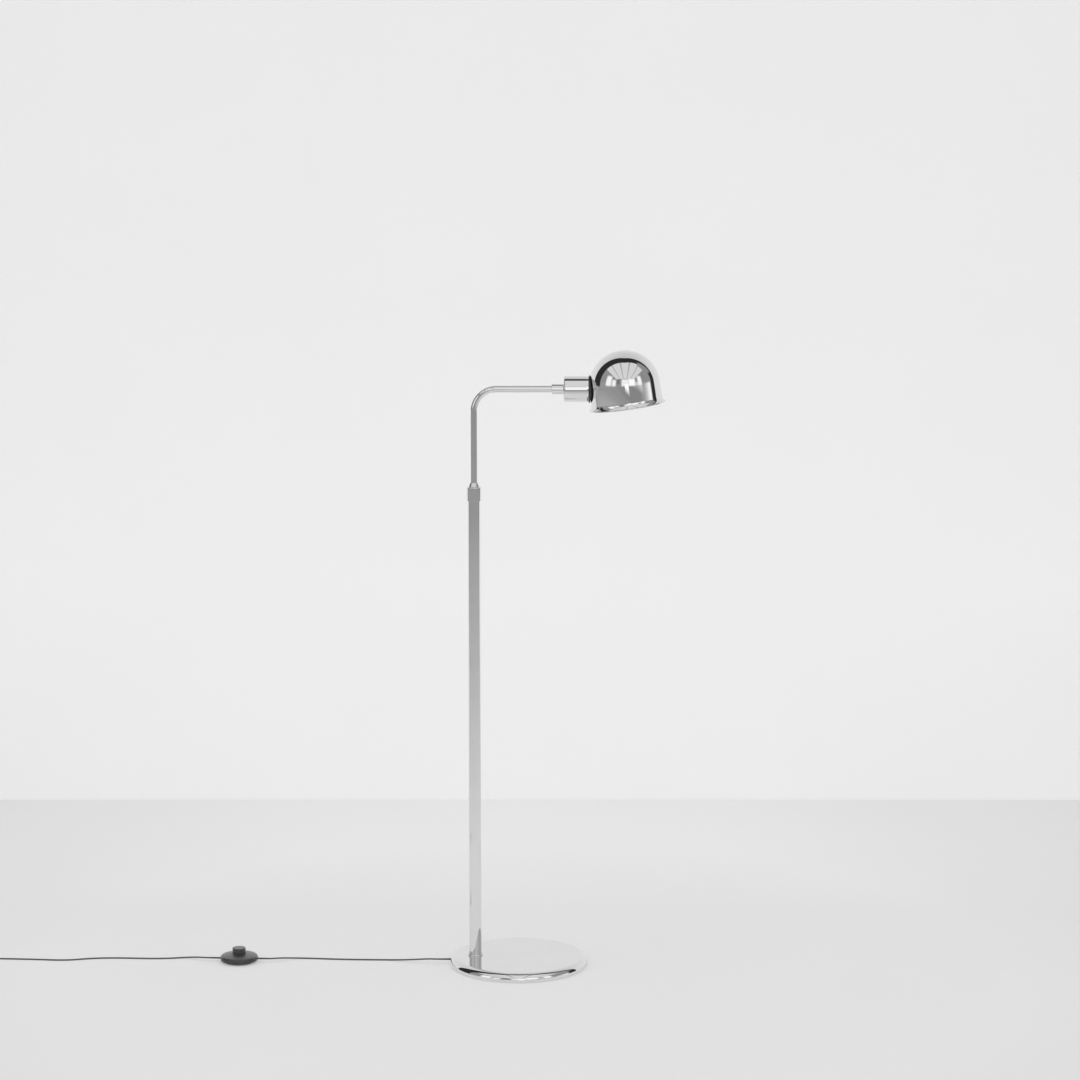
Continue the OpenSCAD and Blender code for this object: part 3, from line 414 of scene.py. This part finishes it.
ENTRY_Z = 6                               # height of the cord's line through the switch
CORD_Z = BASE_H / 2                       # and where it leaves the base
SWITCH_TIP = SWITCH_R + RELIEF_LEN
BASE_TIP = BASE_R + RELIEF_LEN
CORD_STEP, PLUG_STEP = 4, 3               # between the points of a stretch
COIL_STEPS = 36                           # points in a turn of the coil
CORD_ROUND = 5                            # fineness of the cord's section


def unit_way(p, i):
    return (p[min(i + 1, len(p) - 1)] - p[max(i - 1, 0)]).normalized()


def smooth(points, step):
    """Smooth curve through the points of a route, a point about every step."""
    p = [Vector(q) for q in points]
    out = []
    for i in range(len(p) - 1):
        length = (p[i + 1] - p[i]).length
        u, v = unit_way(p, i) * length, unit_way(p, i + 1) * length
        n = max(1, round(length / step))
        for k in range(n):
            t = k / n
            out.append((2 * t ** 3 - 3 * t ** 2 + 1) * p[i] + (t ** 3 - 2 * t ** 2 + t) * u
                       + (3 * t ** 2 - 2 * t ** 3) * p[i + 1] + (t ** 3 - t ** 2) * v)
    return out + [p[-1]]


def switch_point(x):
    """A point on the line of the cord through the foot switch, x to the side of its centre."""
    a = radians(SWITCH_TURN)
    return Vector((SWITCH.x + x * cos(a), SWITCH.y + x * sin(a), ENTRY_Z))


TO_SWITCH = [
    (-BASE_TIP, 0, CORD_Z), (-BASE_TIP - 4, 0, CORD_Z), (-165, 1.5, 7.9), (-190, 6.5, 5.4),
    (-215, 13, 2.8), (-240, 17.5, 1.5), (-275, 19, 1.4), (-310, 20.5, 1.4), (-350, 24, 1.4),
    (-380, 27.5, 1.4), (-405, 26.5, 2.2), (-425, 20.5, 4.1), (-441, 14, 5.6),
    switch_point(SWITCH_TIP + 4), switch_point(SWITCH_TIP)]
# the coil: its middle on the lowest layer, its radius outside and inside, its turns and layers,
# the part of a turn in which it climbs to the next layer, and the height of a layer
COIL = Vector((-1000, 4.3, 2.2))
COIL_R, COIL_IN, COIL_TURNS, COIL_LAYERS, COIL_CLIMB, COIL_STEP = 21.7, 11.5, 12.25, 4, 0.5, 3.4
LAYER_TURNS = (COIL_TURNS - (COIL_LAYERS - 1) * COIL_CLIMB) / COIL_LAYERS
COIL_TOP = COIL.z + (COIL_LAYERS - 1) * COIL_STEP
TO_COIL = [
    switch_point(-SWITCH_TIP), switch_point(-SWITCH_TIP - 4), (-581, 21, 5.2), (-597, 28, 3.4),
    (-616, 31, 1.9), (-640, 28, 1.4), (-670, 26.5, 1.4), (-700, 28, 1.4), (-735, 30, 1.4),
    (-765, 29, 1.4), (-790, 25, 1.4), (-815, 18.5, 1.4), (-840, 16.5, 1.4), (-875, 20, 1.4),
    (-910, 23, 1.4), (-945, 25.5, 1.4), (-975, 26, 1.9),
    (COIL.x + 2 * CORD_D, 26, COIL.z), (COIL.x + CORD_D, 26, COIL.z)]
PLUG = Vector((-1020, -43, 6.85))
TO_PLUG = [
    (COIL.x - COIL_R, COIL.y - CORD_D, COIL_TOP), (COIL.x - COIL_R, COIL.y - 8, COIL_TOP),
    (-1021, -18, 9.8), (PLUG.x, PLUG.y + 5, PLUG.z), PLUG]


def coil_point(w):
    """Centre line of the coil after w turns: it winds in, climbs, winds out, and so on."""
    layer = min(COIL_LAYERS - 1, floor(w / (LAYER_TURNS + COIL_CLIMB)))
    done = w - layer * (LAYER_TURNS + COIL_CLIMB)
    share = min(1, done / LAYER_TURNS)
    c = max(0, (done - LAYER_TURNS) / COIL_CLIMB)
    out, inside = (COIL_R, COIL_IN) if layer % 2 == 0 else (COIL_IN, COIL_R)
    r = out + (inside - out) * share
    a = pi / 2 + 2 * pi * w
    return COIL + Vector((r * cos(a), r * sin(a), (layer + c * c * (3 - 2 * c)) * COIL_STEP))


def cord_curve(name, points, nodes):
    curve = bpy.data.curves.new(name, "CURVE")
    curve.dimensions = "3D"
    curve.bevel_depth = CORD_D / 2 * MM
    curve.bevel_resolution = CORD_ROUND
    curve.use_fill_caps = True
    spline = curve.splines.new("POLY")
    spline.points.add(len(points) - 1)
    for p, q in zip(spline.points, points):
        p.co = (*(q * MM), 1)
    return finished(name, curve, [sheath], "stand", nodes)


def make_cords():
    stretch = smooth(TO_SWITCH, CORD_STEP)
    lead = cord_curve("lead_to_switch", stretch, ["cord_to_switch"])
    loops = [coil_point(i / COIL_STEPS) for i in range(int(COIL_TURNS * COIL_STEPS) + 1)]
    run = smooth(TO_COIL, CORD_STEP)[:-1] + loops + smooth(TO_PLUG, PLUG_STEP)
    cord = cord_curve("lead_to_plug", run, ["cord_to_plug", "cord_coil", "plug_cord"])


def make_slack():
    """The slack lead in the mast, a copy of the CAD node's mesh in place of the node."""
    node = frame["nodes"]["mast_lead"]
    slack = bpy.data.objects.new("slack_lead", node.data.copy())
    bpy.context.scene.collection.objects.link(slack)
    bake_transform(slack)
    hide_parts("mast_lead")


# ---- pieces ----

FACE_W = 1                      # width of a face that lies against another piece
TUBE_FOOT = 1                   # height of the outer tube's foot over the base, inside the ring
RING_ROUND, RING_INNER, RING_GAP, RING_THROAT = 1.2, 0.3, 0.3, 2


def make_base():
    lip_r = BASE_R - LIP_W
    cover = Outline().path((lip_r, COVER_LIFT + COVER_T), (lip_r, COVER_LIFT),
                           (BASE_R, COVER_LIFT, LIP_ROUND), (BASE_R, BASE_H, BASE_ROUND),
                           (0, BASE_H))
    turned_piece("base_shell", cover, Matrix(), [chrome], "stand", ["base_cover"],
                 FINEST)
    ring_r = (high("foot_ring").x - low("foot_ring").x) / 2
    top = high("foot_ring").z
    throat = MAST_R + RING_GAP
    ring = Outline().path((ring_r - FACE_W, BASE_H), (ring_r, BASE_H),
                          (ring_r, top, RING_ROUND), (throat, top, RING_INNER),
                          (throat, top - RING_THROAT))
    turned_piece("foot_collar", ring, AT_MAST, [chrome], "stand", ["foot_ring"])


COLLAR_IN, COLLAR_SHARP = 0.5, 0.1      # how far the collar's faces reach in, its lower edge
GROOVE_DEEP, GROOVE_H = 1, 0.5          # groove between the collar and the cone nut
LAND_H, LAND_SHARP, CONE_EDGE = 0.7, 0.15, 0.3      # foot of the nut below its cone
CONE_TIP, CONE_TIP_ROUND = 1, 0.4       # how far the nut's top stands out from the arm, its edge
NOSE_CLEAR = 0.15                       # between the nut and the arm


def make_mast():
    """Outer tube, collar, and cone nut with a groove at its foot."""
    tube = Outline().line((MAST_R, BASE_H + TUBE_FOOT), (MAST_R, high("outer_tube").z))
    turned_piece("mast_tube", tube, AT_MAST, [chrome], "stand", ["outer_tube"])
    groove_r = NOSE_R - GROOVE_DEEP
    collar = Outline().path((MAST_R - COLLAR_IN, COLLAR_Z), (COLLAR_R, COLLAR_Z, COLLAR_SHARP),
                            (COLLAR_R, COLLAR_TOP, COLLAR_EDGE),
                            (groove_r - COLLAR_IN, COLLAR_TOP))
    turned_piece("mast_collar", collar, AT_MAST, [chrome], "stand", ["collar"])
    land, throat = COLLAR_TOP + GROOVE_H, ARM_R + NOSE_CLEAR
    nose = Outline().path((groove_r, COLLAR_TOP), (groove_r, land),
                          (NOSE_R, land, LAND_SHARP), (NOSE_R, land + LAND_H, CONE_EDGE),
                          (ARM_R + CONE_TIP, NOSE_TOP, CONE_TIP_ROUND), (throat, NOSE_TOP),
                          (throat, COLLAR_TOP))
    turned_piece("collar_cone", nose, AT_MAST, [chrome], "stand", ["collar_nose"])


ARM_AROUND, BEND_STEPS = 72, 40
ARM_LAP = 6                             # the tube ends this far inside the sleeve
SLEEVE_ROUND, SLEEVE_BORE = 0.6, 5


def make_arm():
    """Arm tube swept along a straight, a quarter bend and a straight."""
    rings = [(Vector((MAST_X, 0, ARM_FOOT)), 0), (Vector((MAST_X, 0, ARM_Z - BEND_R)), 0)]
    centre = Vector((MAST_X + BEND_R, 0, ARM_Z - BEND_R))
    for i in range(1, BEND_STEPS):
        a = pi / 2 * i / BEND_STEPS
        rings.append((centre + BEND_R * Vector((-cos(a), 0, sin(a))), a))
    rings += [(Vector((MAST_X + BEND_R, 0, ARM_Z)), pi / 2),
              (Vector((SLEEVE_X + ARM_LAP, 0, ARM_Z)), pi / 2)]
    points, faces, normals = [], [], []
    for place, a in rings:
        for k in range(ARM_AROUND):
            t = 2 * pi * k / ARM_AROUND
            out = Vector((cos(t) * cos(a), sin(t), -cos(t) * sin(a)))
            points.append((place + ARM_R * out) * MM)
            normals.append(out)
    for i in range(len(rings) - 1):
        here, on = i * ARM_AROUND, (i + 1) * ARM_AROUND
        for k in range(ARM_AROUND):
            m = (k + 1) % ARM_AROUND
            faces.append([here + k, here + m, on + m, on + k])
    corner_normals = [normals[i] for face in faces for i in face]
    mesh = mesh_of("arm_bend", (points, faces, corner_normals, [0] * len(faces)))
    finished("arm_bend", mesh, [chrome], "arm", ["arm_tube"])
    sleeve_len = SLEEVE_END - SLEEVE_X
    sleeve = Outline().path((ARM_R, 0), (SLEEVE_R, 0, SLEEVE_ROUND),
                            (SLEEVE_R, sleeve_len, SLEEVE_ROUND), (SLEEVE_BORE, sleeve_len))
    turned_piece("arm_sleeve", sleeve, along_arm(SLEEVE_X), [chrome], "arm",
                 ["swivel_sleeve"])


CUP_BORE, CUP_ROUND = 5, 3              # hole and rounding at the cup's closed end
CUP_WALL, CUP_INSIDE = 2, 6             # wall, and how deep its inside is drawn
DRAWN_ROUND, CUP_LIP, CUP_LIP_INSIDE = 1.5, 0.4, 0.2


def make_head():
    cup_len = CUP_END - CUP_X
    inside = CUP_R - CUP_WALL
    cup = Outline().path((CUP_BORE, 0), (CUP_R, 0, CUP_ROUND),
                         (CUP_R, cup_len - CUP_DRAWN, DRAWN_ROUND),
                         (CUP_R - CUP_TAPER, cup_len, CUP_LIP),
                         (inside, cup_len, CUP_LIP_INSIDE), (inside, cup_len - CUP_INSIDE))
    turned_piece("head_cup", cup, along_arm(CUP_X), [chrome], "head", ["socket_cup"])
    turned_piece("dome_shade", shade_outline(), AT_SHADE, [chrome, enamel], "head",
                 ["shade"], FINEST)


BEAD_STEP, BELL_STEP, SKIRT_STEP, DOME_STEP = 12, 3, 0.4, 2     # degrees


def shade_outline():
    """Rolled edge, curve of the rim, skirt and dome on the outside, and the same back inside.
    The skirt is a little barrelled: one wide arc that touches the dome and the rim's curve."""
    def way(angle):
        return Vector((cos(radians(angle)), sin(radians(angle))))

    middle = BELL_R + SHADE_T / 2
    bead = Vector((RIM_R - BEAD_R, BEAD_R))
    bell = bead + middle * way(LIP_TURN)
    dome = Vector((0, SKIRT_H))
    across = bell - dome - DOME_R * way(SHOULDER)
    barrel = (BELL_R ** 2 - across.length_squared) / (2 * (across @ way(SHOULDER) - BELL_R))
    centre = dome - (barrel - DOME_R) * way(SHOULDER)
    foot = degrees(atan2(*reversed(bell - centre)))
    faces = []
    for bell_r in (BELL_R, BELL_R + SHADE_T):
        off = acos((bell_r ** 2 + middle ** 2 - BEAD_R ** 2) / (2 * bell_r * middle))
        end = LIP_TURN - degrees(off)
        faces.append((end, degrees(atan2(*reversed(bell - bell_r * way(end) - bead)))))
    (outer_end, outer_joint), (inner_end, inner_joint) = faces
    shell = Outline()
    shell.arc(bead, BEAD_R, inner_joint - 360, outer_joint, BEAD_STEP)
    shell.arc(bell, BELL_R, 180 + outer_end, 180 + foot, BELL_STEP, hollow=True)
    shell.arc(centre, barrel, foot, SHOULDER, SKIRT_STEP)
    shell.arc(dome, DOME_R, SHOULDER, 90, DOME_STEP)
    shell.material = 1
    shell.arc(dome, DOME_R - SHADE_T, 90, SHOULDER, DOME_STEP, hollow=True)
    shell.arc(centre, barrel - SHADE_T, SHOULDER, foot, SKIRT_STEP, hollow=True)
    shell.arc(bell, BELL_R + SHADE_T, 180 + foot, 180 + inner_end, BELL_STEP)
    return shell


CROWN_SLOPE, CROWN_ROUND = 14, 5        # slope where crown and shoulder meet, shoulder's rounding
CORNER_STEP, CROWN_STEP = 4, 1          # degrees
EDGE_RISE = 1                           # the shoulder begins this far over the seam
SEAM_IN, SEAM_GAP, SEAM_ROUND = 0.6, 0.1, 0.2       # fine groove between the housings
LID_LAP, HOLE_DEEP = 0.3, 3             # how far it reaches down behind the seam, and in its hole
BOWL_FOOT, BOWL_EDGE = 27, 3.2          # lower housing: radius of its foot, where its wall begins
BOWL_IN, BOWL_LIFT, BOWL_LAP = 0.35, 0.6, 4     # wall set in, foot over the floor, lower face
FOOT_ROUND, BOWL_ROUND = 0.8, 2.2
BUTTON_CLEAR, BUTTON_FOOT = 0.15, 12    # gap round the button, and height that it starts at
BEVEL_W, BEVEL_H, BEVEL_ROUND = 1.3, 0.3, 0.7


def make_switch():
    """Upper housing with a rounded shoulder, lower housing like a bowl, and the button."""
    slope, r = radians(CROWN_SLOPE), SWITCH_R
    corner = Vector((r - CROWN_ROUND, SEAM_Z + EDGE_RISE))
    edge = corner + CROWN_ROUND * Vector((sin(slope), cos(slope)))
    crown = edge.x / sin(slope)
    middle = Vector((0, edge.y - crown * cos(slope)))
    hole = degrees(acos((BUTTON_R + BUTTON_CLEAR) / crown))
    top = Outline().path((r - SEAM_IN, SEAM_Z - LID_LAP), (r - SEAM_IN, SEAM_Z + SEAM_GAP),
                         (r, SEAM_Z + SEAM_GAP, SEAM_ROUND),
                         corner + Vector((CROWN_ROUND, 0)))
    top.arc(corner, CROWN_ROUND, 0, 90 - degrees(slope), CORNER_STEP)
    top.arc(middle, crown, 90 - degrees(slope), hole, CROWN_STEP)
    last = top.steps[-1][2]
    top.line(last, last - Vector((0, HOLE_DEEP)))
    turned_piece("switch_lid", top, AT_SWITCH, [moulded], "stand", ["switch_top"], FINE)
    wall, seam = r - BOWL_IN, SEAM_Z - SEAM_ROUND
    bowl = Outline().path((BOWL_FOOT - BOWL_LAP, BOWL_LIFT), (BOWL_FOOT, BOWL_LIFT, FOOT_ROUND),
                          (wall, BOWL_EDGE, BOWL_ROUND), (wall, seam, SEAM_ROUND),
                          (wall - FACE_W, seam))
    turned_piece("switch_bowl", bowl, AT_SWITCH, [moulded], "stand", ["switch_base"],
                 FINE)
    height = high("switch_button").z
    button = Outline().path((BUTTON_R, BUTTON_FOOT), (BUTTON_R, height - BEVEL_H, BEVEL_ROUND),
                            (BUTTON_R - BEVEL_W, height), (0, height))
    turned_piece("switch_cap", button, AT_SWITCH, [moulded], "button",
                 ["switch_button"])


RELIEF_ROOT, RELIEF_TIP, TIP_ROUND = 1.5, 2, 0.5    # plain stretches at the ends
RELIEF_WIDE, RELIEF_NARROW = 1.65, CORD_D / 2 + 0.1
# rings: how many, the land's share of each, and the slope and depth of the groove after it
RIDGES, RIDGE_LAND, RIDGE_SLOPE, RIDGE_DEEP = 6, 0.55, 0.25, 0.15
BASE_LAP, SWITCH_LAP = 4, 6             # the reliefs begin this far inside base and switch


def relief_outline(lap):
    """Strain relief that tapers along +Z, with rings pressed into it."""
    wide, narrow, deep = RELIEF_WIDE, RELIEF_NARROW, RIDGE_DEEP
    outline = Outline().path((wide, -lap), (wide, RELIEF_ROOT))
    pitch = (RELIEF_LEN - RELIEF_ROOT - RELIEF_TIP) / RIDGES
    for i in range(RIDGES):
        z = RELIEF_ROOT + i * pitch
        r = wide + (narrow - wide) * z / RELIEF_LEN
        land = z + pitch * RIDGE_LAND
        outline.path((r, z), (r, land, deep), (r - deep, land + RIDGE_SLOPE, deep),
                     (r - deep, z + pitch - RIDGE_SLOPE, deep), (r - deep / 3, z + pitch))
    z = RELIEF_ROOT + RIDGES * pitch
    outline.path((narrow, z), (narrow, RELIEF_LEN, TIP_ROUND), (CORD_D / 2, RELIEF_LEN))
    return outline


def make_reliefs():
    base = Matrix.Translation((-BASE_R * MM, 0, CORD_Z * MM)) @ Matrix.Rotation(-pi / 2, 4, "Y")
    turned_piece("base_sleeve", relief_outline(BASE_LAP), base, [rubber], "stand",
                 ["base_relief"], COARSE)
    shapes = []
    for side in (1, -1):
        place = (AT_SWITCH @ Matrix.Translation((side * SWITCH_R * MM, 0, ENTRY_Z * MM))
                 @ Matrix.Rotation(side * pi / 2, 4, "Y"))
        shapes.append(turned(relief_outline(SWITCH_LAP), place, COARSE))
    finished("switch_sleeves", mesh_of("switch_sleeves", *shapes), [rubber], "stand",
             ["switch_reliefs"])


# ---- room ----

FLOOR_BACK, FLOOR_FRONT, FLOOR_SIDE, WALL_TOP = 1.288, -12, 10, 5
# painted falloff of light: brightness of the floor by its distance from the lamp
FLOOR_LIGHT_FALLOFF = ((0, 1.0), (0.9, 1.0), (1.8, 0.86), (3, 0.68), (6, 0.46), (9, 0.42))
# painted light and shade, by axis, from, to and brightness: the floor is lighter towards the wall,
# the wall higher up and darker near the floor
FLOOR_PAINTED_LIGHT = ("Y", 0.35, 1.288, 1, 1.12)
WALL_PAINTED_SHADE = ("Z", 0, 0.5, 0.945, 1)
FLOOR_GREY, WALL_GREY, FILL = 0.45, 0.965, 0.7
SPECKLE, SPECKLE_SCALE, SPECKLE_DETAIL = 0.004, 3, 2    # of the paint
PAINT_ROUGH = 0.8
DAYLIGHT = 1.06

# what the chrome mirrors: a pale backdrop behind, darker higher up
BACKDROP, BACK_DIM = 0.835, 0.22
# a dark gap between the backdrop and the room in front, with its edges by how far they point to
# the front. It leans back overhead, and both edges lean back to the left and to the right
GAP, GAP_FRONT, GAP_BACK, GAP_LEAN = 0.03, 0.174, -0.19, 0.09
FRONT_LEFT, FRONT_RIGHT, BACK_LEFT, BACK_RIGHT = 0.15, 0.23, 0.33, 0.15
GAP_FOOT, GAP_FULL = -3, 0              # degrees of rise
# a panelled ceiling: brightness, half its width in heights over the lamp, slope to its far end
CEILING, CEILING_SIDE, CEILING_END = 0.78, 1.08, 0.53
SEAMS = (-0.63, -0.2, 0.2, 0.63)
SEAM, SEAM_HALF = 0.42, 0.028           # brightness and half the width of a seam
# the room in front: degrees to the right of the camera, and brightness
ROOM = ((-110, 0.36), (-60, 0.36), (-5, 0.29), (45, 0.28), (52, 0.33), (63, 0.46), (72, 0.68),
        (80, 1.0), (87, 1.1), (91, 0.5), (94, 0.03), (110, 0.03))
ROOM_ABOVE, ABOVE_FROM, ABOVE_TO = 0.32, 7, 12      # over it, from these degrees of rise
# lit screens that stand round the lamp: side from, side to, foot, top, in degrees, brightness
SCREENS = ((-66, -47, 3, 31, 1.10), (-44, -31, 3, 22, 1.05), (-12, 12, 4, 26, 1.02),
           (12, 33, 5, 32, 1.2), (33, 43, 5, 16, 0.8), (43, 57, 5, 32, 1.1))
SHADOWS = ((-29, -18, 10, 28, 0.2), (58, 76, 22, 38, 0.3))
SPOT = (-1, 11, -1.6, 10, 1.25)
SIDE_PANEL = (82, 108, 28, 60, 0.32)
SCREEN_SOFT, SPOT_SOFT, PANEL_SOFT = 2.8, 1.3, 3.0
CEILING_SOFT, END_SOFT, EDGE_SOFT = 0.05, 0.04, 0.02
LEAST = 0.02                            # keeps the divisions off nought
SECOND, SECOND_SHARE = 0.5, 0.8         # what shows in a reflection of a reflection


def between(nodes, links, value, lower, upper, soft):
    """One between two limits and nought outside, with soft edges."""
    up = ranged(nodes, links, value, lower - soft, lower + soft, 0, 1)
    down = ranged(nodes, links, value, upper - soft, upper + soft, 1, 0)
    return calc(nodes, links, "MULTIPLY", up, down)


def layered(nodes, links, value, mask, other):
    """The value, and the other one where the mask is one."""
    less = calc(nodes, links, "MULTIPLY", value, calc(nodes, links, "SUBTRACT", 1.0, mask))
    return calc(nodes, links, "MULTIPLY_ADD", mask, other, less)


def plane(name, corners, material, glossy=True):
    mesh = bpy.data.meshes.new(name)
    mesh.from_pydata(corners, [], [(0, 1, 2, 3)])
    mesh.materials.append(material)
    sheet = bpy.data.objects.new(name, mesh)
    bpy.context.scene.collection.objects.link(sheet)
    sheet.visible_glossy = glossy
    return sheet


def paint(name, value, light_falloff, painted_lift, fill):
    """Matt paint with painted light and shade: it darkens with the distance from the lamp, in
    metres, and lightens along an axis.
    fill is light of its own, which keeps shadows soft. From its back the sheet is clear, so that
    it hides nothing in the views from behind."""
    material, nodes, links, shader = new_material(name)
    place = nodes.new("ShaderNodeTexCoord").outputs["Object"]
    parts = nodes.new("ShaderNodeSeparateXYZ")
    links.new(place, parts.inputs["Vector"])
    across = calc(nodes, links, "POWER", parts.outputs["X"], 2.0)
    away = calc(nodes, links, "SQRT", calc(nodes, links, "MULTIPLY_ADD", parts.outputs["Y"],
                                           parts.outputs["Y"], across))
    # painted falloff of light with the distance from the lamp
    reach = light_falloff[-1][0] or 1
    ramp = nodes.new("ShaderNodeValToRGB")
    links.new(calc(nodes, links, "DIVIDE", away, reach), ramp.inputs["Fac"])
    points = ramp.color_ramp.elements
    points.remove(points[1])
    for i, (distance, share) in enumerate(light_falloff):
        point = points.new(distance / reach) if i else points[0]
        point.color = (*grey(value * share), 1)
    clouds = noise(nodes, links, place, SPECKLE_SCALE, SPECKLE_DETAIL)
    speckle = ranged(nodes, links, clouds, *NOISE_SPAN, 1 - SPECKLE, 1 + SPECKLE)
    tint = nodes.new("ShaderNodeVectorMath")
    tint.operation = "SCALE"
    links.new(ramp.outputs["Color"], tint.inputs[0])
    # painted light and shade: the sheet lightens along an axis
    painted_lifted = ranged(nodes, links, parts.outputs[painted_lift[0]], *painted_lift[1:])
    links.new(calc(nodes, links, "MULTIPLY", speckle, painted_lifted), tint.inputs["Scale"])
    links.new(tint.outputs["Vector"], shader.inputs["Base Color"])
    # painted fill light: the sheet glows by the fill share of its own colour, which keeps shadows
    # soft
    links.new(tint.outputs["Vector"], shader.inputs["Emission Color"])
    shader.inputs["Emission Strength"].default_value = fill
    shader.inputs["Roughness"].default_value = PAINT_ROUGH
    shader.inputs["Specular IOR Level"].default_value = 0.0
    clear = nodes.new("ShaderNodeMixShader")
    links.new(nodes.new("ShaderNodeNewGeometry").outputs["Backfacing"], clear.inputs["Fac"])
    links.new(shader.outputs["BSDF"], clear.inputs[1])
    links.new(nodes.new("ShaderNodeBsdfTransparent").outputs["BSDF"], clear.inputs[2])
    links.new(clear.outputs["Shader"], nodes["Material Output"].inputs["Surface"])
    return material


def make_room():
    # the floor's paint carries painted light: darker away from the lamp, lighter towards the wall
    plane("floor", [(-FLOOR_SIDE, FLOOR_FRONT, 0), (FLOOR_SIDE, FLOOR_FRONT, 0),
                    (FLOOR_SIDE, FLOOR_BACK, 0), (-FLOOR_SIDE, FLOOR_BACK, 0)],
          paint("floor_paint", FLOOR_GREY, FLOOR_LIGHT_FALLOFF, FLOOR_PAINTED_LIGHT, FILL))
    plane("wall", [(-FLOOR_SIDE, FLOOR_BACK, 0), (FLOOR_SIDE, FLOOR_BACK, 0),
                   (FLOOR_SIDE, FLOOR_BACK, WALL_TOP), (-FLOOR_SIDE, FLOOR_BACK, WALL_TOP)],
          paint("wall_paint", WALL_GREY, ((0, 1.0),), WALL_PAINTED_SHADE, 0), glossy=False)


def make_light():
    """Even daylight, and the room that the chrome mirrors: a pale backdrop behind, a dark gap
    round the sides, a panelled ceiling, and lit screens in front."""
    world = bpy.data.worlds.new("room")
    bpy.context.scene.world = world
    world.use_nodes = True
    world.cycles.sampling_method = "NONE"
    nodes, links = world.node_tree.nodes, world.node_tree.links
    way = nodes.new("ShaderNodeSeparateXYZ")
    links.new(nodes.new("ShaderNodeTexCoord").outputs["Generated"], way.inputs["Vector"])
    x, z = way.outputs["X"], way.outputs["Z"]
    front = calc(nodes, links, "MULTIPLY", way.outputs["Y"], -1.0)
    side = calc(nodes, links, "DEGREES", calc(nodes, links, "ARCTAN2", x, front))
    rise = calc(nodes, links, "DEGREES", calc(nodes, links, "ARCSINE", z))
    above = calc(nodes, links, "MAXIMUM", z, LEAST)
    across = calc(nodes, links, "DIVIDE", x, above)
    ahead = calc(nodes, links, "MAXIMUM", front, LEAST)
    steep = calc(nodes, links, "DIVIDE", above, ahead)

    def patch(value, limits, soft):
        mask = calc(nodes, links, "MULTIPLY",
                    between(nodes, links, side, limits[0], limits[1], soft),
                    between(nodes, links, rise, limits[2], limits[3], soft))
        return layered(nodes, links, value, mask, limits[4])

    first, last = ROOM[0][0], ROOM[-1][0]
    ramp = nodes.new("ShaderNodeValToRGB")
    links.new(ranged(nodes, links, side, first, last, 0, 1), ramp.inputs["Fac"])
    points = ramp.color_ramp.elements
    points.remove(points[1])
    for i, (angle, value) in enumerate(ROOM):
        point = points.new((angle - first) / (last - first)) if i else points[0]
        point.color = (*grey(value), 1)
    upper = ranged(nodes, links, rise, ABOVE_FROM, ABOVE_TO, 0, 1)
    light = layered(nodes, links, ramp.outputs["Color"], upper, ROOM_ABOVE)
    for screen in SHADOWS + SCREENS:
        light = patch(light, screen, SCREEN_SOFT)
    light = patch(light, SPOT, SPOT_SOFT)
    ceiling = calc(nodes, links, "MULTIPLY",
                   between(nodes, links, across, -CEILING_SIDE, CEILING_SIDE, CEILING_SOFT),
                   ranged(nodes, links, steep, CEILING_END - END_SOFT, CEILING_END + END_SOFT,
                          0, 1))
    light = layered(nodes, links, light, ceiling, CEILING)
    for seam in SEAMS:
        groove = between(nodes, links, across, seam - SEAM_HALF, seam + SEAM_HALF, EDGE_SOFT)
        light = layered(nodes, links, light, calc(nodes, links, "MULTIPLY", groove, ceiling), SEAM)
    leaning = calc(nodes, links, "MULTIPLY_ADD", z, GAP_LEAN, front)
    left = calc(nodes, links, "MAXIMUM", calc(nodes, links, "MULTIPLY", x, -1.0), 0.0)
    right = calc(nodes, links, "MAXIMUM", x, 0.0)

    def behind(edge, to_left, to_right):
        line = calc(nodes, links, "MULTIPLY_ADD", left, to_left, leaning)
        line = calc(nodes, links, "MULTIPLY_ADD", right, to_right, line)
        return ranged(nodes, links, line, edge - EDGE_SOFT, edge + EDGE_SOFT, 1, 0)

    gap = calc(nodes, links, "MULTIPLY", ranged(nodes, links, rise, GAP_FOOT, GAP_FULL, 0, 1),
               behind(GAP_FRONT, FRONT_LEFT, FRONT_RIGHT))
    light = layered(nodes, links, light, gap, GAP)
    light = patch(light, SIDE_PANEL, PANEL_SOFT)
    back = behind(GAP_BACK, BACK_LEFT, BACK_RIGHT)
    high_up = calc(nodes, links, "MULTIPLY", above, above)
    backdrop = calc(nodes, links, "MULTIPLY_ADD", high_up, -BACK_DIM, BACKDROP)
    light = layered(nodes, links, light, back, backdrop)
    path = nodes.new("ShaderNodeLightPath")
    again = ranged(nodes, links, path.outputs["Ray Depth"], 2, 3, 0, SECOND_SHARE)
    light = layered(nodes, links, light, again, SECOND)
    room = nodes.new("ShaderNodeBackground")
    links.new(light, room.inputs["Color"])
    day = nodes["Background"]
    day.inputs["Color"].default_value = (*grey(DAYLIGHT), 1)
    both = nodes.new("ShaderNodeMixShader")
    first_glossy = calc(nodes, links, "MULTIPLY", path.outputs["Is Glossy Ray"],
                        ranged(nodes, links, path.outputs["Diffuse Depth"], 0, 1, 1, 0))
    links.new(first_glossy, both.inputs["Fac"])
    links.new(day.outputs["Background"], both.inputs[1])
    links.new(room.outputs["Background"], both.inputs[2])
    links.new(both.outputs["Shader"], nodes["World Output"].inputs["Surface"])


make_camera()
dress_nodes()
make_cords()
make_slack()
make_base()
make_mast()
make_arm()
make_head()
make_switch()
make_reliefs()
make_room()
make_light()
bpy.context.scene.view_settings.view_transform = "Standard"
